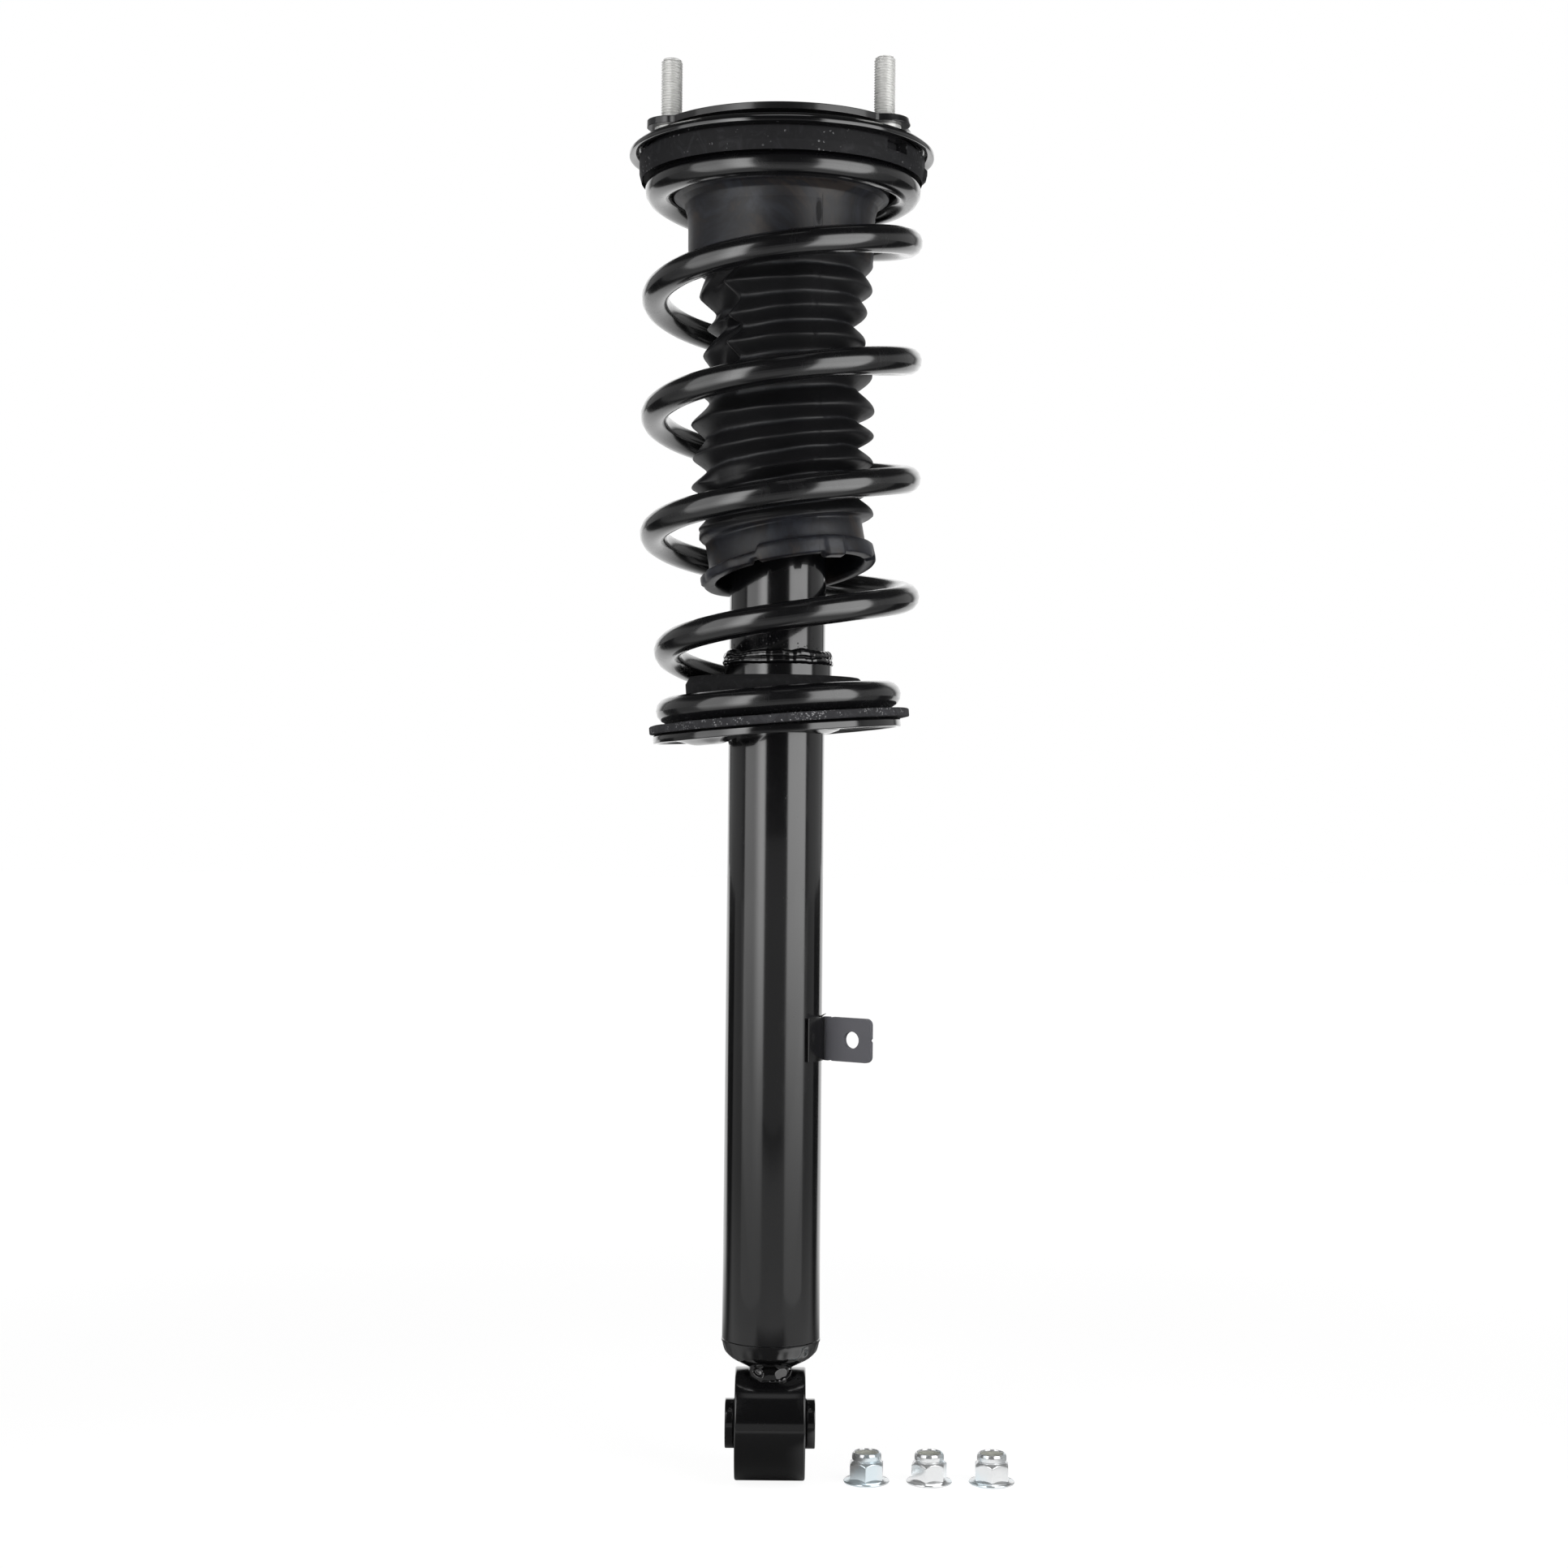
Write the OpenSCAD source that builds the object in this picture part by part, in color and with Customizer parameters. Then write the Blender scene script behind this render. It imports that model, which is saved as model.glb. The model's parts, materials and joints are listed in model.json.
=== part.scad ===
// Coil-over suspension strut with a three-stud top mount and a bushed lower eye.
// Millimetres. The origin is the centre of the stud circle on the top face of the
// mount plate, +Z runs up the damper axis and +X along the bolt through the eye.

/* [Mount plate and studs] */
// Number of studs on the mount plate
stud_count = 3; // [3:1:4]
// Diameter of the circle that the studs stand on
stud_circle_d = 115; // [108:1:118]
// Thread diameter of a stud
stud_d = 10; // [8:1:12]
// Height of a stud above the plate
stud_len = 29; // [20:1:40]
// Direction of the first stud from +X
stud_turn = 206; // [180:1:230]
// Diameter of the stud's knurled collar in the plate
stud_collar_d = 12.6; // [12.4:0.1:14]
// Diameter of the round part of the mount plate
plate_d = 124; // [116:1:128]
// Sheet thickness of the mount plate
plate_t = 3.2; // [2.5:0.1:4]
// Diameter of the lobe round a stud
lobe_d = 23; // [20:1:26]
// How far one lobe's edge flares out below the plate
lobe_flare = 2.5; // [1:0.1:3]
// Outer diameter of the cup pressed into the middle of the plate
cup_d = 57; // [50:1:60]
// Depth of that cup, to the top of its floor
cup_depth = 9; // [7:0.5:11]
// Hole in the floor of the cup
cup_hole_d = 28; // [26:1:34]

/* [Rubber mount] */
// Diameter of the rubber cushion above the cup floor
upper_rubber_d = 48; // [40:1:50]
// Height of the rubber cushion above the cup floor
upper_rubber_h = 5; // [4:0.5:6]
// Diameter of the rubber cushion below the cup floor
lower_rubber_d = 56; // [50:1:57]
// Height of the rubber cushion below the cup floor
lower_rubber_h = 11; // [9:0.5:13]
// Outer diameter of the steel sleeve in the rubber
mount_sleeve_d = 18; // [16:0.5:20]
// Diameter of the washer under the rod nut
rod_washer_d = 42; // [34:1:44]
// Thickness of the washer under the rod nut
rod_washer_t = 2.8; // [2:0.1:3.5]
// Width across the flats of the rod nut
rod_nut_af = 17; // [15:1:19]
// Height of the rod nut
rod_nut_h = 8; // [6:0.5:10]
// Length of rod end showing above the nut
rod_end_len = 3; // [2:0.5:5]

/* [Upper spring seat] */
// Thickness of the rubber ring between the plate and the seat
cushion_t = 3; // [2:0.1:4]
// Outer diameter of that rubber ring
cushion_d = 110; // [100:1:114]
// Outer diameter of the seat over its rolled rim
upper_seat_d = 145.6; // [143:0.2:150]
// Sheet thickness of the seat
upper_seat_t = 2.6; // [2:0.1:3.2]
// Diameter of the rolled rim
seat_bead_d = 5.2; // [4.5:0.1:5.6]
// Hole in the middle of the seat
upper_seat_hole_d = 61; // [60:0.5:63]

/* [Upper isolator] */
// How far the isolator's side stands in from the seat's rim
isolator_inset = 4.5; // [3.3:0.1:5]
// Rubber thickness between the seat and the spring
isolator_t = 11.3; // [9:0.1:14]
// How far the outer skirt hangs over the spring
skirt_drop = 2.8; // [1.5:0.1:4]
// Thickness of the outer skirt at the spring seat face
skirt_wall = 1.4; // [1.3:0.1:2]
// Slope of the lower outer edge, measured inwards
skirt_taper = 1.2; // [0.5:0.1:1.6]
// Height of the hub below the spring seat face
hub_drop = 8.7; // [6:0.1:12]
// Width of the moulding notch in the outer edge
notch_w = 14; // [8:1:18]
// Height of the moulding notch
notch_h = 5.5; // [3:0.5:7]
// Direction of the notch from +X
notch_turn = 322; // [315:1:330]

/* [Coil spring] */
// Wire diameter
wire_d = 13; // [12:0.1:13.6]
// Mean diameter of the free coils
coil_d = 121; // [119:0.5:123]
// Mean diameter of the closed coil at the bottom
bottom_coil_d = 104; // [103:0.5:106]
// Height between the closed coils, wire centre to wire centre
spring_h = 244.1; // [230:0.1:260]
// Rise of a free coil in one turn
coil_pitch = 56.28; // [50:0.01:62]
// Length of the closed coil at the bottom, in degrees
bottom_wrap = 270; // [240:5:275]
// Length of the closed coil at the top, in degrees
top_wrap = 262; // [230:5:270]
// Turn over which the bottom coil takes up its pitch, in degrees
bottom_ramp = 120; // [60:10:160]
// Turn over which the top coil loses its pitch, in degrees
top_ramp = 200; // [120:10:240]
// Sideways offset of the spring from the damper axis
spring_offset = 0.8; // [0:0.1:1.2]

/* [Dust boot] */
// How far the top flange stands in from the isolator's hub
flange_inset = 0.4; // [0:0.1:1]
// Thickness of the top flange
boot_flange_t = 8.6; // [6:0.2:10]
// Width of the top flange outside the plain upper collar
flange_ledge = 6.9; // [6:0.1:8]
// Height of the plain upper collar below the flange
boot_collar_h = 23.4; // [15:0.2:30]
// Number of folds
boot_folds = 9; // [6:1:10]
// Height of one fold
fold_h = 12.6; // [11:0.1:12.8]
// Outer diameter over a fold
fold_peak_d = 88; // [84:0.5:92]
// Outer diameter between two folds
fold_valley_d = 74; // [70:0.5:78]
// Wall thickness of the boot
boot_wall = 1.8; // [1.2:0.1:2.4]
// Diameter of the plain lower collar
boot_cuff_d = 75.4; // [72:0.2:78]
// Height of the plain lower collar
boot_cuff_h = 36; // [30:0.5:38]
// Diameter of the flange at the lower end
boot_lip_d = 83; // [80:0.5:86]
// Thickness of the flange at the lower end
boot_lip_t = 5; // [4:0.2:6]
// Lean of the lower collar, in degrees
boot_lean = 9.5; // [0:0.5:11]

/* [Bump stop] */
// Diameter of the bump stop
bump_d = 36.4; // [30:0.2:40]
// Length of the bump stop
bump_len = 44.8; // [30:0.2:44.8]
// Diameter of the steel cup above the bump stop
bump_cup_d = 58; // [54:1:59]
// Thickness of the steel cup
bump_cup_t = 2.5; // [2:0.1:3]
// Depth of the rim that grips the bump stop
bump_cup_rim_h = 9; // [6:0.5:12]

/* [Damper body] */
// Outer diameter of the damper tube
tube_d = 45; // [44:0.1:46]
// Wall thickness of the damper tube
tube_wall = 2; // [1.8:0.1:2.2]
// Length of the damper tube
tube_len = 390; // [360:1:420]
// Drop from the plate to the top of the tube at full extension
tube_drop = 185; // [180:0.5:190]
// Radius of the closed end of the damper
base_round = 10.3; // [9:0.1:11]
// Height of the neck between the closed end and the eye
base_neck_h = 3.2; // [2:0.1:4]
// Diameter of that neck
base_neck_d = 21; // [18:0.5:23]
// Depth that the base cap goes into the tube
base_plug_h = 6; // [4:0.5:8]
// Wall of the cap over the top of the tube
bump_cap_wall = 1.7; // [1.2:0.1:2]
// Depth of the cap over the top of the tube
bump_cap_h = 17; // [12:0.5:20]

/* [Piston and valves] */
// Piston rod diameter
rod_d = 12.5; // [12.2:0.1:13]
// Diameter of the threaded ends of the rod
spigot_d = 10; // [9:0.5:10.5]
// Bore of the inner pressure tube
pressure_bore_d = 28; // [27:0.5:30]
// Wall thickness of the inner pressure tube
pressure_wall = 2; // [1.5:0.1:2.4]
// Height of the oil seal
seal_h = 6; // [4:0.5:8]
// Height of the wide part of the rod guide
guide_h = 12; // [10:0.5:16]
// Height of the guide's spigot inside the pressure tube
guide_spigot_h = 8; // [6:0.5:12]
// Wall thickness of the bush in the rod guide
guide_bush_wall = 1.7; // [1:0.1:2.5]
// Diameter of the rebound stop on the rod
rebound_stop_d = 23; // [20:0.5:26]
// Height of the rebound stop
rebound_stop_h = 8; // [6:0.5:12]
// Distance from the rebound stop to the end of the full rod
rod_tail_len = 10.7; // [8:0.1:20]
// Height of the piston
piston_h = 20; // [16:1:26]
// Height of the band round the piston
piston_band_h = 10; // [8:0.5:12]
// Thickness of the band round the piston
piston_band_t = 1.4; // [1:0.1:2]
// Diameter of a stack of valve discs
disc_d = 22; // [18:0.5:24]
// Thickness of a stack of valve discs
disc_t = 2; // [1.5:0.1:3]
// Width across the flats of the piston nut
piston_nut_af = 16; // [14:0.5:17]
// Height of the piston nut
piston_nut_h = 8; // [6:0.5:10]
// Thickness of the base valve's flange
base_valve_t = 4; // [3:0.5:6]
// Height of the base valve's spigot
base_valve_spigot_h = 8; // [6:0.5:12]

/* [Lower spring seat] */
// Lean of the lower seat, in degrees
seat_lean = 4.7; // [0:0.1:5]
// Diameter of the steel dish
dish_d = 118.8; // [116:0.2:121]
// Sheet thickness of the dish
dish_t = 3; // [2.5:0.1:3.4]
// Height of the dish's turned-down rim
dish_rim_h = 4.2; // [3.6:0.1:6]
// Outer diameter of the neck that is welded to the tube
neck_d = 51; // [50:0.2:53]
// Height of the neck above the dish
neck_h = 35; // [30:0.5:38]
// Depth of the pocket pressed in the dish for the end of the spring
pocket_depth = 2.4; // [1.5:0.1:3]
// Length of that pocket round the dish, in degrees
pocket_turn = 34; // [20:1:45]
// Direction of that pocket from +X
pocket_at = 217; // [200:1:230]
// Sideways offset of the neck
neck_offset = 0.8; // [0:0.1:1]
// Diameter of the weld bead at the top of the neck
seat_weld_d = 6.4; // [5:0.2:7]

/* [Lower isolator] */
// Diameter of the rubber flange under the spring
pad_d = 124.4; // [122:0.2:127]
// Thickness of the rubber flange
pad_t = 4.3; // [3.5:0.1:5]
// Sideways offset of the rubber flange
pad_offset = 1.4; // [0:0.1:2]
// Diameter of the hub inside the lowest coil
pad_hub_d = 86.4; // [80:0.2:88]
// Height of the hub above the flange
pad_hub_h = 19.5; // [14:0.5:23]

/* [Lower eye] */
// Outer diameter of the eye
eye_d = 53; // [51:0.5:55]
// Width of the eye
eye_w = 33.5; // [30:0.5:37]
// Wall thickness of the eye
eye_wall = 4.5; // [4:0.1:5]
// Wall thickness of the bush's outer sleeve
bush_shell_t = 1.5; // [1:0.1:2]
// Outer diameter of the bush's inner sleeve
bush_sleeve_d = 22.3; // [20:0.1:24]
// Length of the bush's inner sleeve
bush_sleeve_len = 43; // [40:0.5:46]
// Bore for the lower bolt
bolt_bore_d = 14.2; // [12:0.1:15]
// Diameter of the weld bead between the eye and the damper
eye_bead_d = 6; // [5:0.2:7]

/* [Hose bracket] */
// Distance from the top of the tube down to the middle of the bracket
bracket_drop = 245.2; // [200:0.2:300]
// Height of the bracket
bracket_h = 20.8; // [16:0.2:26]
// Sheet thickness of the bracket
bracket_t = 2.3; // [1.8:0.1:3]
// Direction of the foot's free edge from +X, clockwise
foot_from = 48; // [44:1:52]
// Direction of the fold from +X, clockwise
foot_to = 15; // [10:1:20]
// Length of the ear from the fold
ear_len = 25.8; // [22:0.2:34]
// Direction of the ear from +X, clockwise
ear_turn = 33; // [28:1:41]
// Corner radius of the ear
ear_corner_r = 3; // [1:0.5:5]
// Hole in the ear
ear_hole_d = 8; // [6:0.5:10]
// Distance of the hole from the fold
ear_hole_at = 15.2; // [13:0.1:19]

/* [Mounting nuts] */
// Number of loose nuts
nut_count = 3; // [1:1:4]
// Width across the flats
nut_af = 14; // [13:0.5:15]
// Height of a nut over its locking insert
nut_h = 14.6; // [13:0.1:16]
// Diameter of the nut's flange
nut_flange_d = 22; // [20:0.5:24]
// Thickness of the flange at its edge
nut_flange_t = 1.6; // [1.2:0.1:2]
// Height of the flange's cone
nut_cone_h = 2; // [1.5:0.1:2.5]
// Diameter of the rolled collar round the insert
nut_collar_d = 13.4; // [12.6:0.1:13.8]
// Height of that collar
nut_collar_h = 3.4; // [3:0.1:4]
// Distance of the first nut from the damper axis
nut_first_x = 46.2; // [40:0.2:60]
// Distance between two nuts
nut_step = 29.8; // [26:0.2:40]
// How far the nuts stand in front of the axis
nut_front = 4.5; // [0:0.5:20]
// Turn of the hexagons
nut_turn = 30; // [0:5:60]

/* [Clearances] */
// Gap between a soft piece and its neighbour
soft_gap = 0.3; // [0.2:0.05:0.4]
// Radial running clearance of a sliding or turning fit
run_gap = 0.05; // [0.03:0.01:0.1]
// Radial clearance of a bolt or stud in its hole
slip_gap = 0.1; // [0.05:0.01:0.3]

/* [Hidden] */

$fn = 96;
// Margin by which a cutter passes through what it cuts
past = 1;
// Depth of a screw thread on one side
thread_depth = 0.6;
stud_head_d = stud_collar_d + 3;

black_paint = [0.03, 0.03, 0.035];
dark_rubber = [0.1, 0.1, 0.11];
grey_rubber = [0.22, 0.22, 0.23];
boot_black = [0.13, 0.13, 0.15];
zinc = [0.72, 0.72, 0.7];
bright_zinc = [0.8, 0.82, 0.85];
bare_steel = [0.6, 0.6, 0.62];
bronze = [0.6, 0.45, 0.25];
nylon = [0.85, 0.85, 0.8];

// Stack from the top of the plate down to the spring
cup_floor_z = -cup_depth;
cup_under_z = cup_floor_z - plate_t;
washer_under_z = cup_floor_z + upper_rubber_h;
nut_under_z = washer_under_z + rod_washer_t;
rod_top_z = nut_under_z + rod_nut_h + rod_end_len;
bump_cup_top_z = cup_under_z - lower_rubber_h;
rod_shoulder_z = bump_cup_top_z - bump_cup_t;
seat_top_z = -plate_t - cushion_t;
seat_under_z = seat_top_z - upper_seat_t;
isolator_top_z = seat_under_z - soft_gap;
isolator_face_z = seat_under_z - isolator_t;
hub_under_z = isolator_face_z - hub_drop;
seat_bead_z = seat_top_z - seat_bead_d / 2;
isolator_bore_r = upper_seat_hole_d / 2 + 2;
isolator_d = upper_seat_d - 2 * isolator_inset;
// Room between the closed top coil and the isolator's skirt or hub
coil_room = soft_gap + spring_offset;

// Spring
wire_r = wire_d / 2;
top_coil_d = isolator_d - 2 * (skirt_wall + coil_room) - wire_d;
isolator_hub_r = top_coil_d / 2 - wire_r - coil_room;
top_coil_z = isolator_face_z - soft_gap - wire_r;
bottom_coil_z = top_coil_z - spring_h;
bottom_mid = 30;
top_mid = bottom_mid + 360 * spring_h / coil_pitch;
bottom_start = bottom_mid - bottom_ramp / 2;
top_start = top_mid - top_ramp / 2;
first_turn = bottom_mid - bottom_wrap;
last_turn = top_mid + top_wrap;
rings_per_turn = 24;
wire_sides = 6;
coil_rings = ceil((last_turn - first_turn) * rings_per_turn / 360);

// Damper
tube_top_z = -tube_drop;
tube_foot_z = tube_top_z - tube_len;
tube_bore_r = tube_d / 2 - tube_wall;
base_foot_z = tube_foot_z - base_round - base_neck_h;
eye_z = base_foot_z - eye_d / 2;
plug_top_z = tube_foot_z + base_plug_h;
seal_top_z = tube_top_z - tube_wall - soft_gap;
guide_top_z = seal_top_z - seal_h - soft_gap;
guide_step_z = guide_top_z - guide_h;
guide_foot_z = guide_step_z - guide_spigot_h;
pressure_r = pressure_bore_d / 2;
base_valve_top_z = plug_top_z + base_valve_t;
stop_top_z = guide_foot_z - soft_gap;
stop_foot_z = stop_top_z - rebound_stop_h;
rod_foot_z = stop_foot_z - rod_tail_len;
piston_top_z = rod_foot_z - disc_t;
piston_foot_z = piston_top_z - piston_h;
piston_nut_top_z = piston_foot_z - disc_t;
spigot_past_nut = 2;
spigot_foot_z = piston_nut_top_z - piston_nut_h - spigot_past_nut;
rod_bore_r = rod_d / 2 + run_gap;
spigot_bore_r = spigot_d / 2 + slip_gap;

// Lower seat, in its own leaning frame
dish_top_z = bottom_coil_z - wire_r - soft_gap - pad_t;

// Boot
boot_flange_d = 2 * (isolator_hub_r - flange_inset);
boot_collar_d = boot_flange_d - 2 * flange_ledge;
boot_top_z = hub_under_z - soft_gap;
boot_flange_foot_z = boot_top_z - boot_flange_t;
folds_top_z = boot_flange_foot_z - boot_collar_h;
folds_foot_z = folds_top_z - boot_folds * fold_h;
boot_spigot_r = isolator_bore_r - soft_gap;
boot_spigot_h = 7;
// Height over which the last fold closes in on the leaning collar
boot_turn_h = 6.3;

// Nuts: the insert's radius, the lip rolled over it and how deep it sits in the hexagon
insert_r = stud_d / 2 + 1.2;
insert_lip = 0.8;
insert_seat = 1.2;

// Eye and bush
eye_bore_r = eye_d / 2 - eye_wall;
bush_rubber_r = eye_bore_r - bush_shell_t;
floor_z = eye_z - eye_d / 2;

module at_studs() {
    for (i = [0:stud_count - 1])
        rotate([0, 0, stud_turn + i * 360 / stud_count])
            translate([stud_circle_d / 2, 0, 0])
                children();
}

module ring(outer_r, inner_r, top_z, foot_z) {
    translate([0, 0, foot_z])
        difference() {
            cylinder(r = outer_r, h = top_z - foot_z);
            translate([0, 0, -past])
                cylinder(r = inner_r, h = top_z - foot_z + 2 * past);
        }
}

module hexagon(across_flats, height) {
    cylinder(d = across_flats / cos(30), h = height, $fn = 6);
}

module along_x(length) {
    translate([-length / 2, 0, 0])
        rotate([0, 90, 0])
            children();
}

// Points of an arc about a centre, from one direction to another
function arc(centre, radius, from, to, steps) =
    [for (i = [0:steps])
        let (turn = from + (to - from) * i / steps)
        centre + radius * [cos(turn), sin(turn)]];

module mount_plate() {
    cup_r = cup_d / 2;
    bend = 4;
    flared_lobe = 1;
    edge = 0.4;
    color(black_paint)
        difference() {
            union() {
                translate([0, 0, -plate_t])
                    cylinder(d = plate_d, h = plate_t);
                at_studs()
                    translate([0, 0, -plate_t])
                        cylinder(d = lobe_d, h = plate_t);
                difference() {
                    rotate([0, 0, stud_turn + flared_lobe * 360 / stud_count])
                        translate([stud_circle_d / 2, 0, -plate_t - edge])
                            cylinder(r1 = lobe_d / 2 + lobe_flare, r2 = lobe_d / 2 - edge,
                                     h = plate_t);
                    translate([0, 0, -2 * plate_t])
                        cylinder(r = plate_d / 2 - edge, h = 2 * plate_t + past);
                }
                translate([0, 0, cup_under_z])
                    cylinder(r = cup_r, h = cup_depth + plate_t);
            }
            translate([0, 0, cup_floor_z])
                cylinder(r = cup_r - plate_t, h = cup_depth + past);
            translate([0, 0, -bend])
                cylinder(r1 = cup_r - plate_t, r2 = cup_r - plate_t + bend / 2, h = bend);
            translate([0, 0, cup_under_z - past])
                cylinder(d = cup_hole_d, h = plate_t + 2 * past);
            at_studs()
                translate([0, 0, -plate_t - past])
                    cylinder(d = stud_collar_d, h = plate_t + 2 * past);
        }
}

module upper_studs() {
    chamfer = 1;
    head_t = 2;
    color(zinc)
        at_studs() {
            cylinder(d = stud_d, h = stud_len - chamfer);
            translate([0, 0, stud_len - chamfer])
                cylinder(d1 = stud_d, d2 = stud_d - 2 * chamfer, h = chamfer);
            translate([0, 0, -plate_t])
                cylinder(d = stud_collar_d, h = plate_t);
            translate([0, 0, -plate_t - head_t])
                cylinder(d = stud_head_d, h = head_t);
        }
}

module mount_rubber() {
    bore_r = mount_sleeve_d / 2;
    waist_r = cup_hole_d / 2;
    top_r = upper_rubber_d / 2;
    foot_r = lower_rubber_d / 2;
    crown = 2;
    color(dark_rubber)
        rotate_extrude()
            polygon([
                [bore_r, bump_cup_top_z], [foot_r - crown, bump_cup_top_z],
                [foot_r, bump_cup_top_z + crown], [foot_r, cup_under_z - crown],
                [foot_r - crown, cup_under_z], [waist_r, cup_under_z],
                [waist_r, cup_floor_z], [top_r, cup_floor_z],
                [top_r - crown, washer_under_z], [bore_r, washer_under_z]
            ]);
}

module mount_sleeve() {
    color(bare_steel)
        ring(mount_sleeve_d / 2, spigot_bore_r, washer_under_z, bump_cup_top_z);
}

module rod_washer() {
    color(black_paint)
        ring(rod_washer_d / 2, spigot_bore_r, nut_under_z, washer_under_z);
}

module rod_nut() {
    bevel = 1.2;
    wide_d = rod_nut_af * 1.2;
    color(bright_zinc)
        translate([0, 0, nut_under_z])
            difference() {
                intersection() {
                    hexagon(rod_nut_af, rod_nut_h);
                    union() {
                        cylinder(d = wide_d, h = rod_nut_h - bevel);
                        translate([0, 0, rod_nut_h - bevel])
                            cylinder(d1 = wide_d, d2 = rod_nut_af, h = bevel);
                    }
                }
                translate([0, 0, -past])
                    cylinder(r = spigot_d / 2, h = rod_nut_h + 2 * past);
            }
}

module seat_cushion() {
    stud_head_r = stud_head_d / 2 + soft_gap;
    cup_clear = 1;
    color(dark_rubber)
        difference() {
            ring(cushion_d / 2, cup_d / 2 + cup_clear, -plate_t, seat_top_z);
            at_studs()
                translate([0, 0, seat_top_z - past])
                    cylinder(r = stud_head_r, h = cushion_t + 2 * past);
        }
}

module upper_seat() {
    bead_r = seat_bead_d / 2;
    bead_at = upper_seat_d / 2 - bead_r;
    blend = 1;
    color(black_paint)
        rotate_extrude()
            polygon(concat(
                [[upper_seat_hole_d / 2, seat_under_z], [upper_seat_hole_d / 2, seat_top_z]],
                [[bead_at, seat_top_z]],
                arc([bead_at, seat_bead_z], bead_r, 80, -140, 10),
                [[bead_at - bead_r - blend, seat_under_z]]
            ));
}

module upper_isolator() {
    outer_r = isolator_d / 2;
    skirt_z = isolator_face_z - skirt_drop;
    skirt_r = top_coil_d / 2 + wire_r + coil_room;
    shoulder_r = outer_r - 2.8;
    shoulder_z = seat_top_z - seat_bead_d - 0.2;
    edge_h = 1.5;
    notch_in = 6;
    color(dark_rubber)
        difference() {
            rotate_extrude()
                polygon([
                    [isolator_bore_r, isolator_top_z],
                    [shoulder_r, isolator_top_z],
                    [shoulder_r, shoulder_z],
                    [outer_r, shoulder_z],
                    [outer_r, isolator_face_z + edge_h],
                    [outer_r - skirt_taper, skirt_z],
                    [skirt_r, skirt_z],
                    [skirt_r, isolator_face_z],
                    [isolator_hub_r, isolator_face_z],
                    [isolator_hub_r, hub_under_z + edge_h],
                    [isolator_hub_r - edge_h, hub_under_z],
                    [isolator_bore_r, hub_under_z]
                ]);
            rotate([0, 0, notch_turn])
                translate([outer_r - notch_in, -notch_w / 2, shoulder_z - notch_h])
                    cube([2 * notch_in, notch_w, notch_h + notch_in]);
        }
}

module bump_stop_cup() {
    rim_r = bump_d / 2 + soft_gap;
    color(black_paint)
        union() {
            ring(bump_cup_d / 2, spigot_bore_r, bump_cup_top_z, rod_shoulder_z);
            ring(rim_r + bump_cup_t, rim_r, rod_shoulder_z, rod_shoulder_z - bump_cup_rim_h);
        }
}

module bump_stop() {
    top_z = rod_shoulder_z - soft_gap;
    outer_r = bump_d / 2;
    rod_clear_r = rod_d / 2 + soft_gap;
    waists = 3;
    waist_step = (bump_len - bump_cup_rim_h) / waists;
    waist_depth = 4;
    foot_in = waists + 2;
    color(grey_rubber)
        rotate_extrude()
            polygon(concat(
                [[rod_clear_r, top_z - bump_len], [rod_clear_r, top_z], [outer_r, top_z]],
                [for (i = [0:waists - 1])
                    let (z = top_z - bump_cup_rim_h - i * waist_step)
                    each [
                        [outer_r - i, z],
                        [outer_r - i - waist_depth, z - waist_step * 0.35],
                        [outer_r - i - 1, z - waist_step * 0.7]
                    ]],
                [[outer_r - foot_in, top_z - bump_len]]
            ));
}

// Outline of the folds: crests and roots that follow a cosine
fold_steps = 8;
function fold_r(share) =
    (fold_peak_d + fold_valley_d) / 4 + (fold_peak_d - fold_valley_d) / 4 * cos(360 * share);
function fold_line(inset) =
    [for (i = [0:boot_folds * fold_steps])
        [fold_r(i / fold_steps) - inset, folds_top_z - fold_h * i / fold_steps]];

// The lower collar leans about the foot of the folds
module boot_cuff() {
    translate([0, 0, folds_foot_z])
        rotate([0, -boot_lean, 0])
            children();
}

module boot_shell() {
    collar_r = boot_collar_d / 2;
    flange_r = boot_flange_d / 2;
    neck_r = boot_spigot_r - boot_wall;
    mouth_r = boot_cuff_d / 2 - 2 * boot_wall;
    fillet = 3;
    turn_r = fold_peak_d / 2 - 2.4;
    turn_z = folds_foot_z - boot_turn_h;
    inner_folds = fold_line(boot_wall);
    rotate_extrude()
        polygon(concat(
            [[neck_r, boot_top_z + boot_spigot_h],
             [boot_spigot_r, boot_top_z + boot_spigot_h],
             [boot_spigot_r, boot_top_z],
             [flange_r - fillet / 2, boot_top_z],
             [flange_r, boot_top_z - fillet / 2],
             [flange_r, boot_top_z - boot_flange_t / 2]],
            arc([collar_r + fillet, boot_flange_foot_z - fillet], fillet, 90, 180, 4),
            [[collar_r, folds_top_z + fillet]],
            fold_line(0),
            [[(turn_r + 3 * fold_peak_d / 2) / 4, turn_z + boot_turn_h / 2],
             [turn_r, turn_z],
             [mouth_r, turn_z],
             [mouth_r, turn_z + boot_wall],
             [turn_r - boot_wall, turn_z + boot_wall]],
            [for (i = [len(inner_folds) - 1:-1:0]) inner_folds[i]],
            [[collar_r - boot_wall, folds_top_z + fillet],
             [collar_r - boot_wall, boot_flange_foot_z],
             [neck_r, boot_flange_foot_z]]
        ));
}

module dust_boot() {
    color(boot_black)
        difference() {
            union() {
                boot_shell();
                boot_cuff()
                    translate([0, 0, -boot_cuff_h]) {
                        cylinder(d = boot_cuff_d, h = boot_cuff_h - 1);
                        cylinder(d = boot_lip_d, h = boot_lip_t);
                    }
            }
            boot_cuff()
                translate([0, 0, -boot_cuff_h - past])
                    cylinder(d = boot_cuff_d - 2 * boot_wall, h = boot_cuff_h + 2 * past);
        }
}

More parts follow.
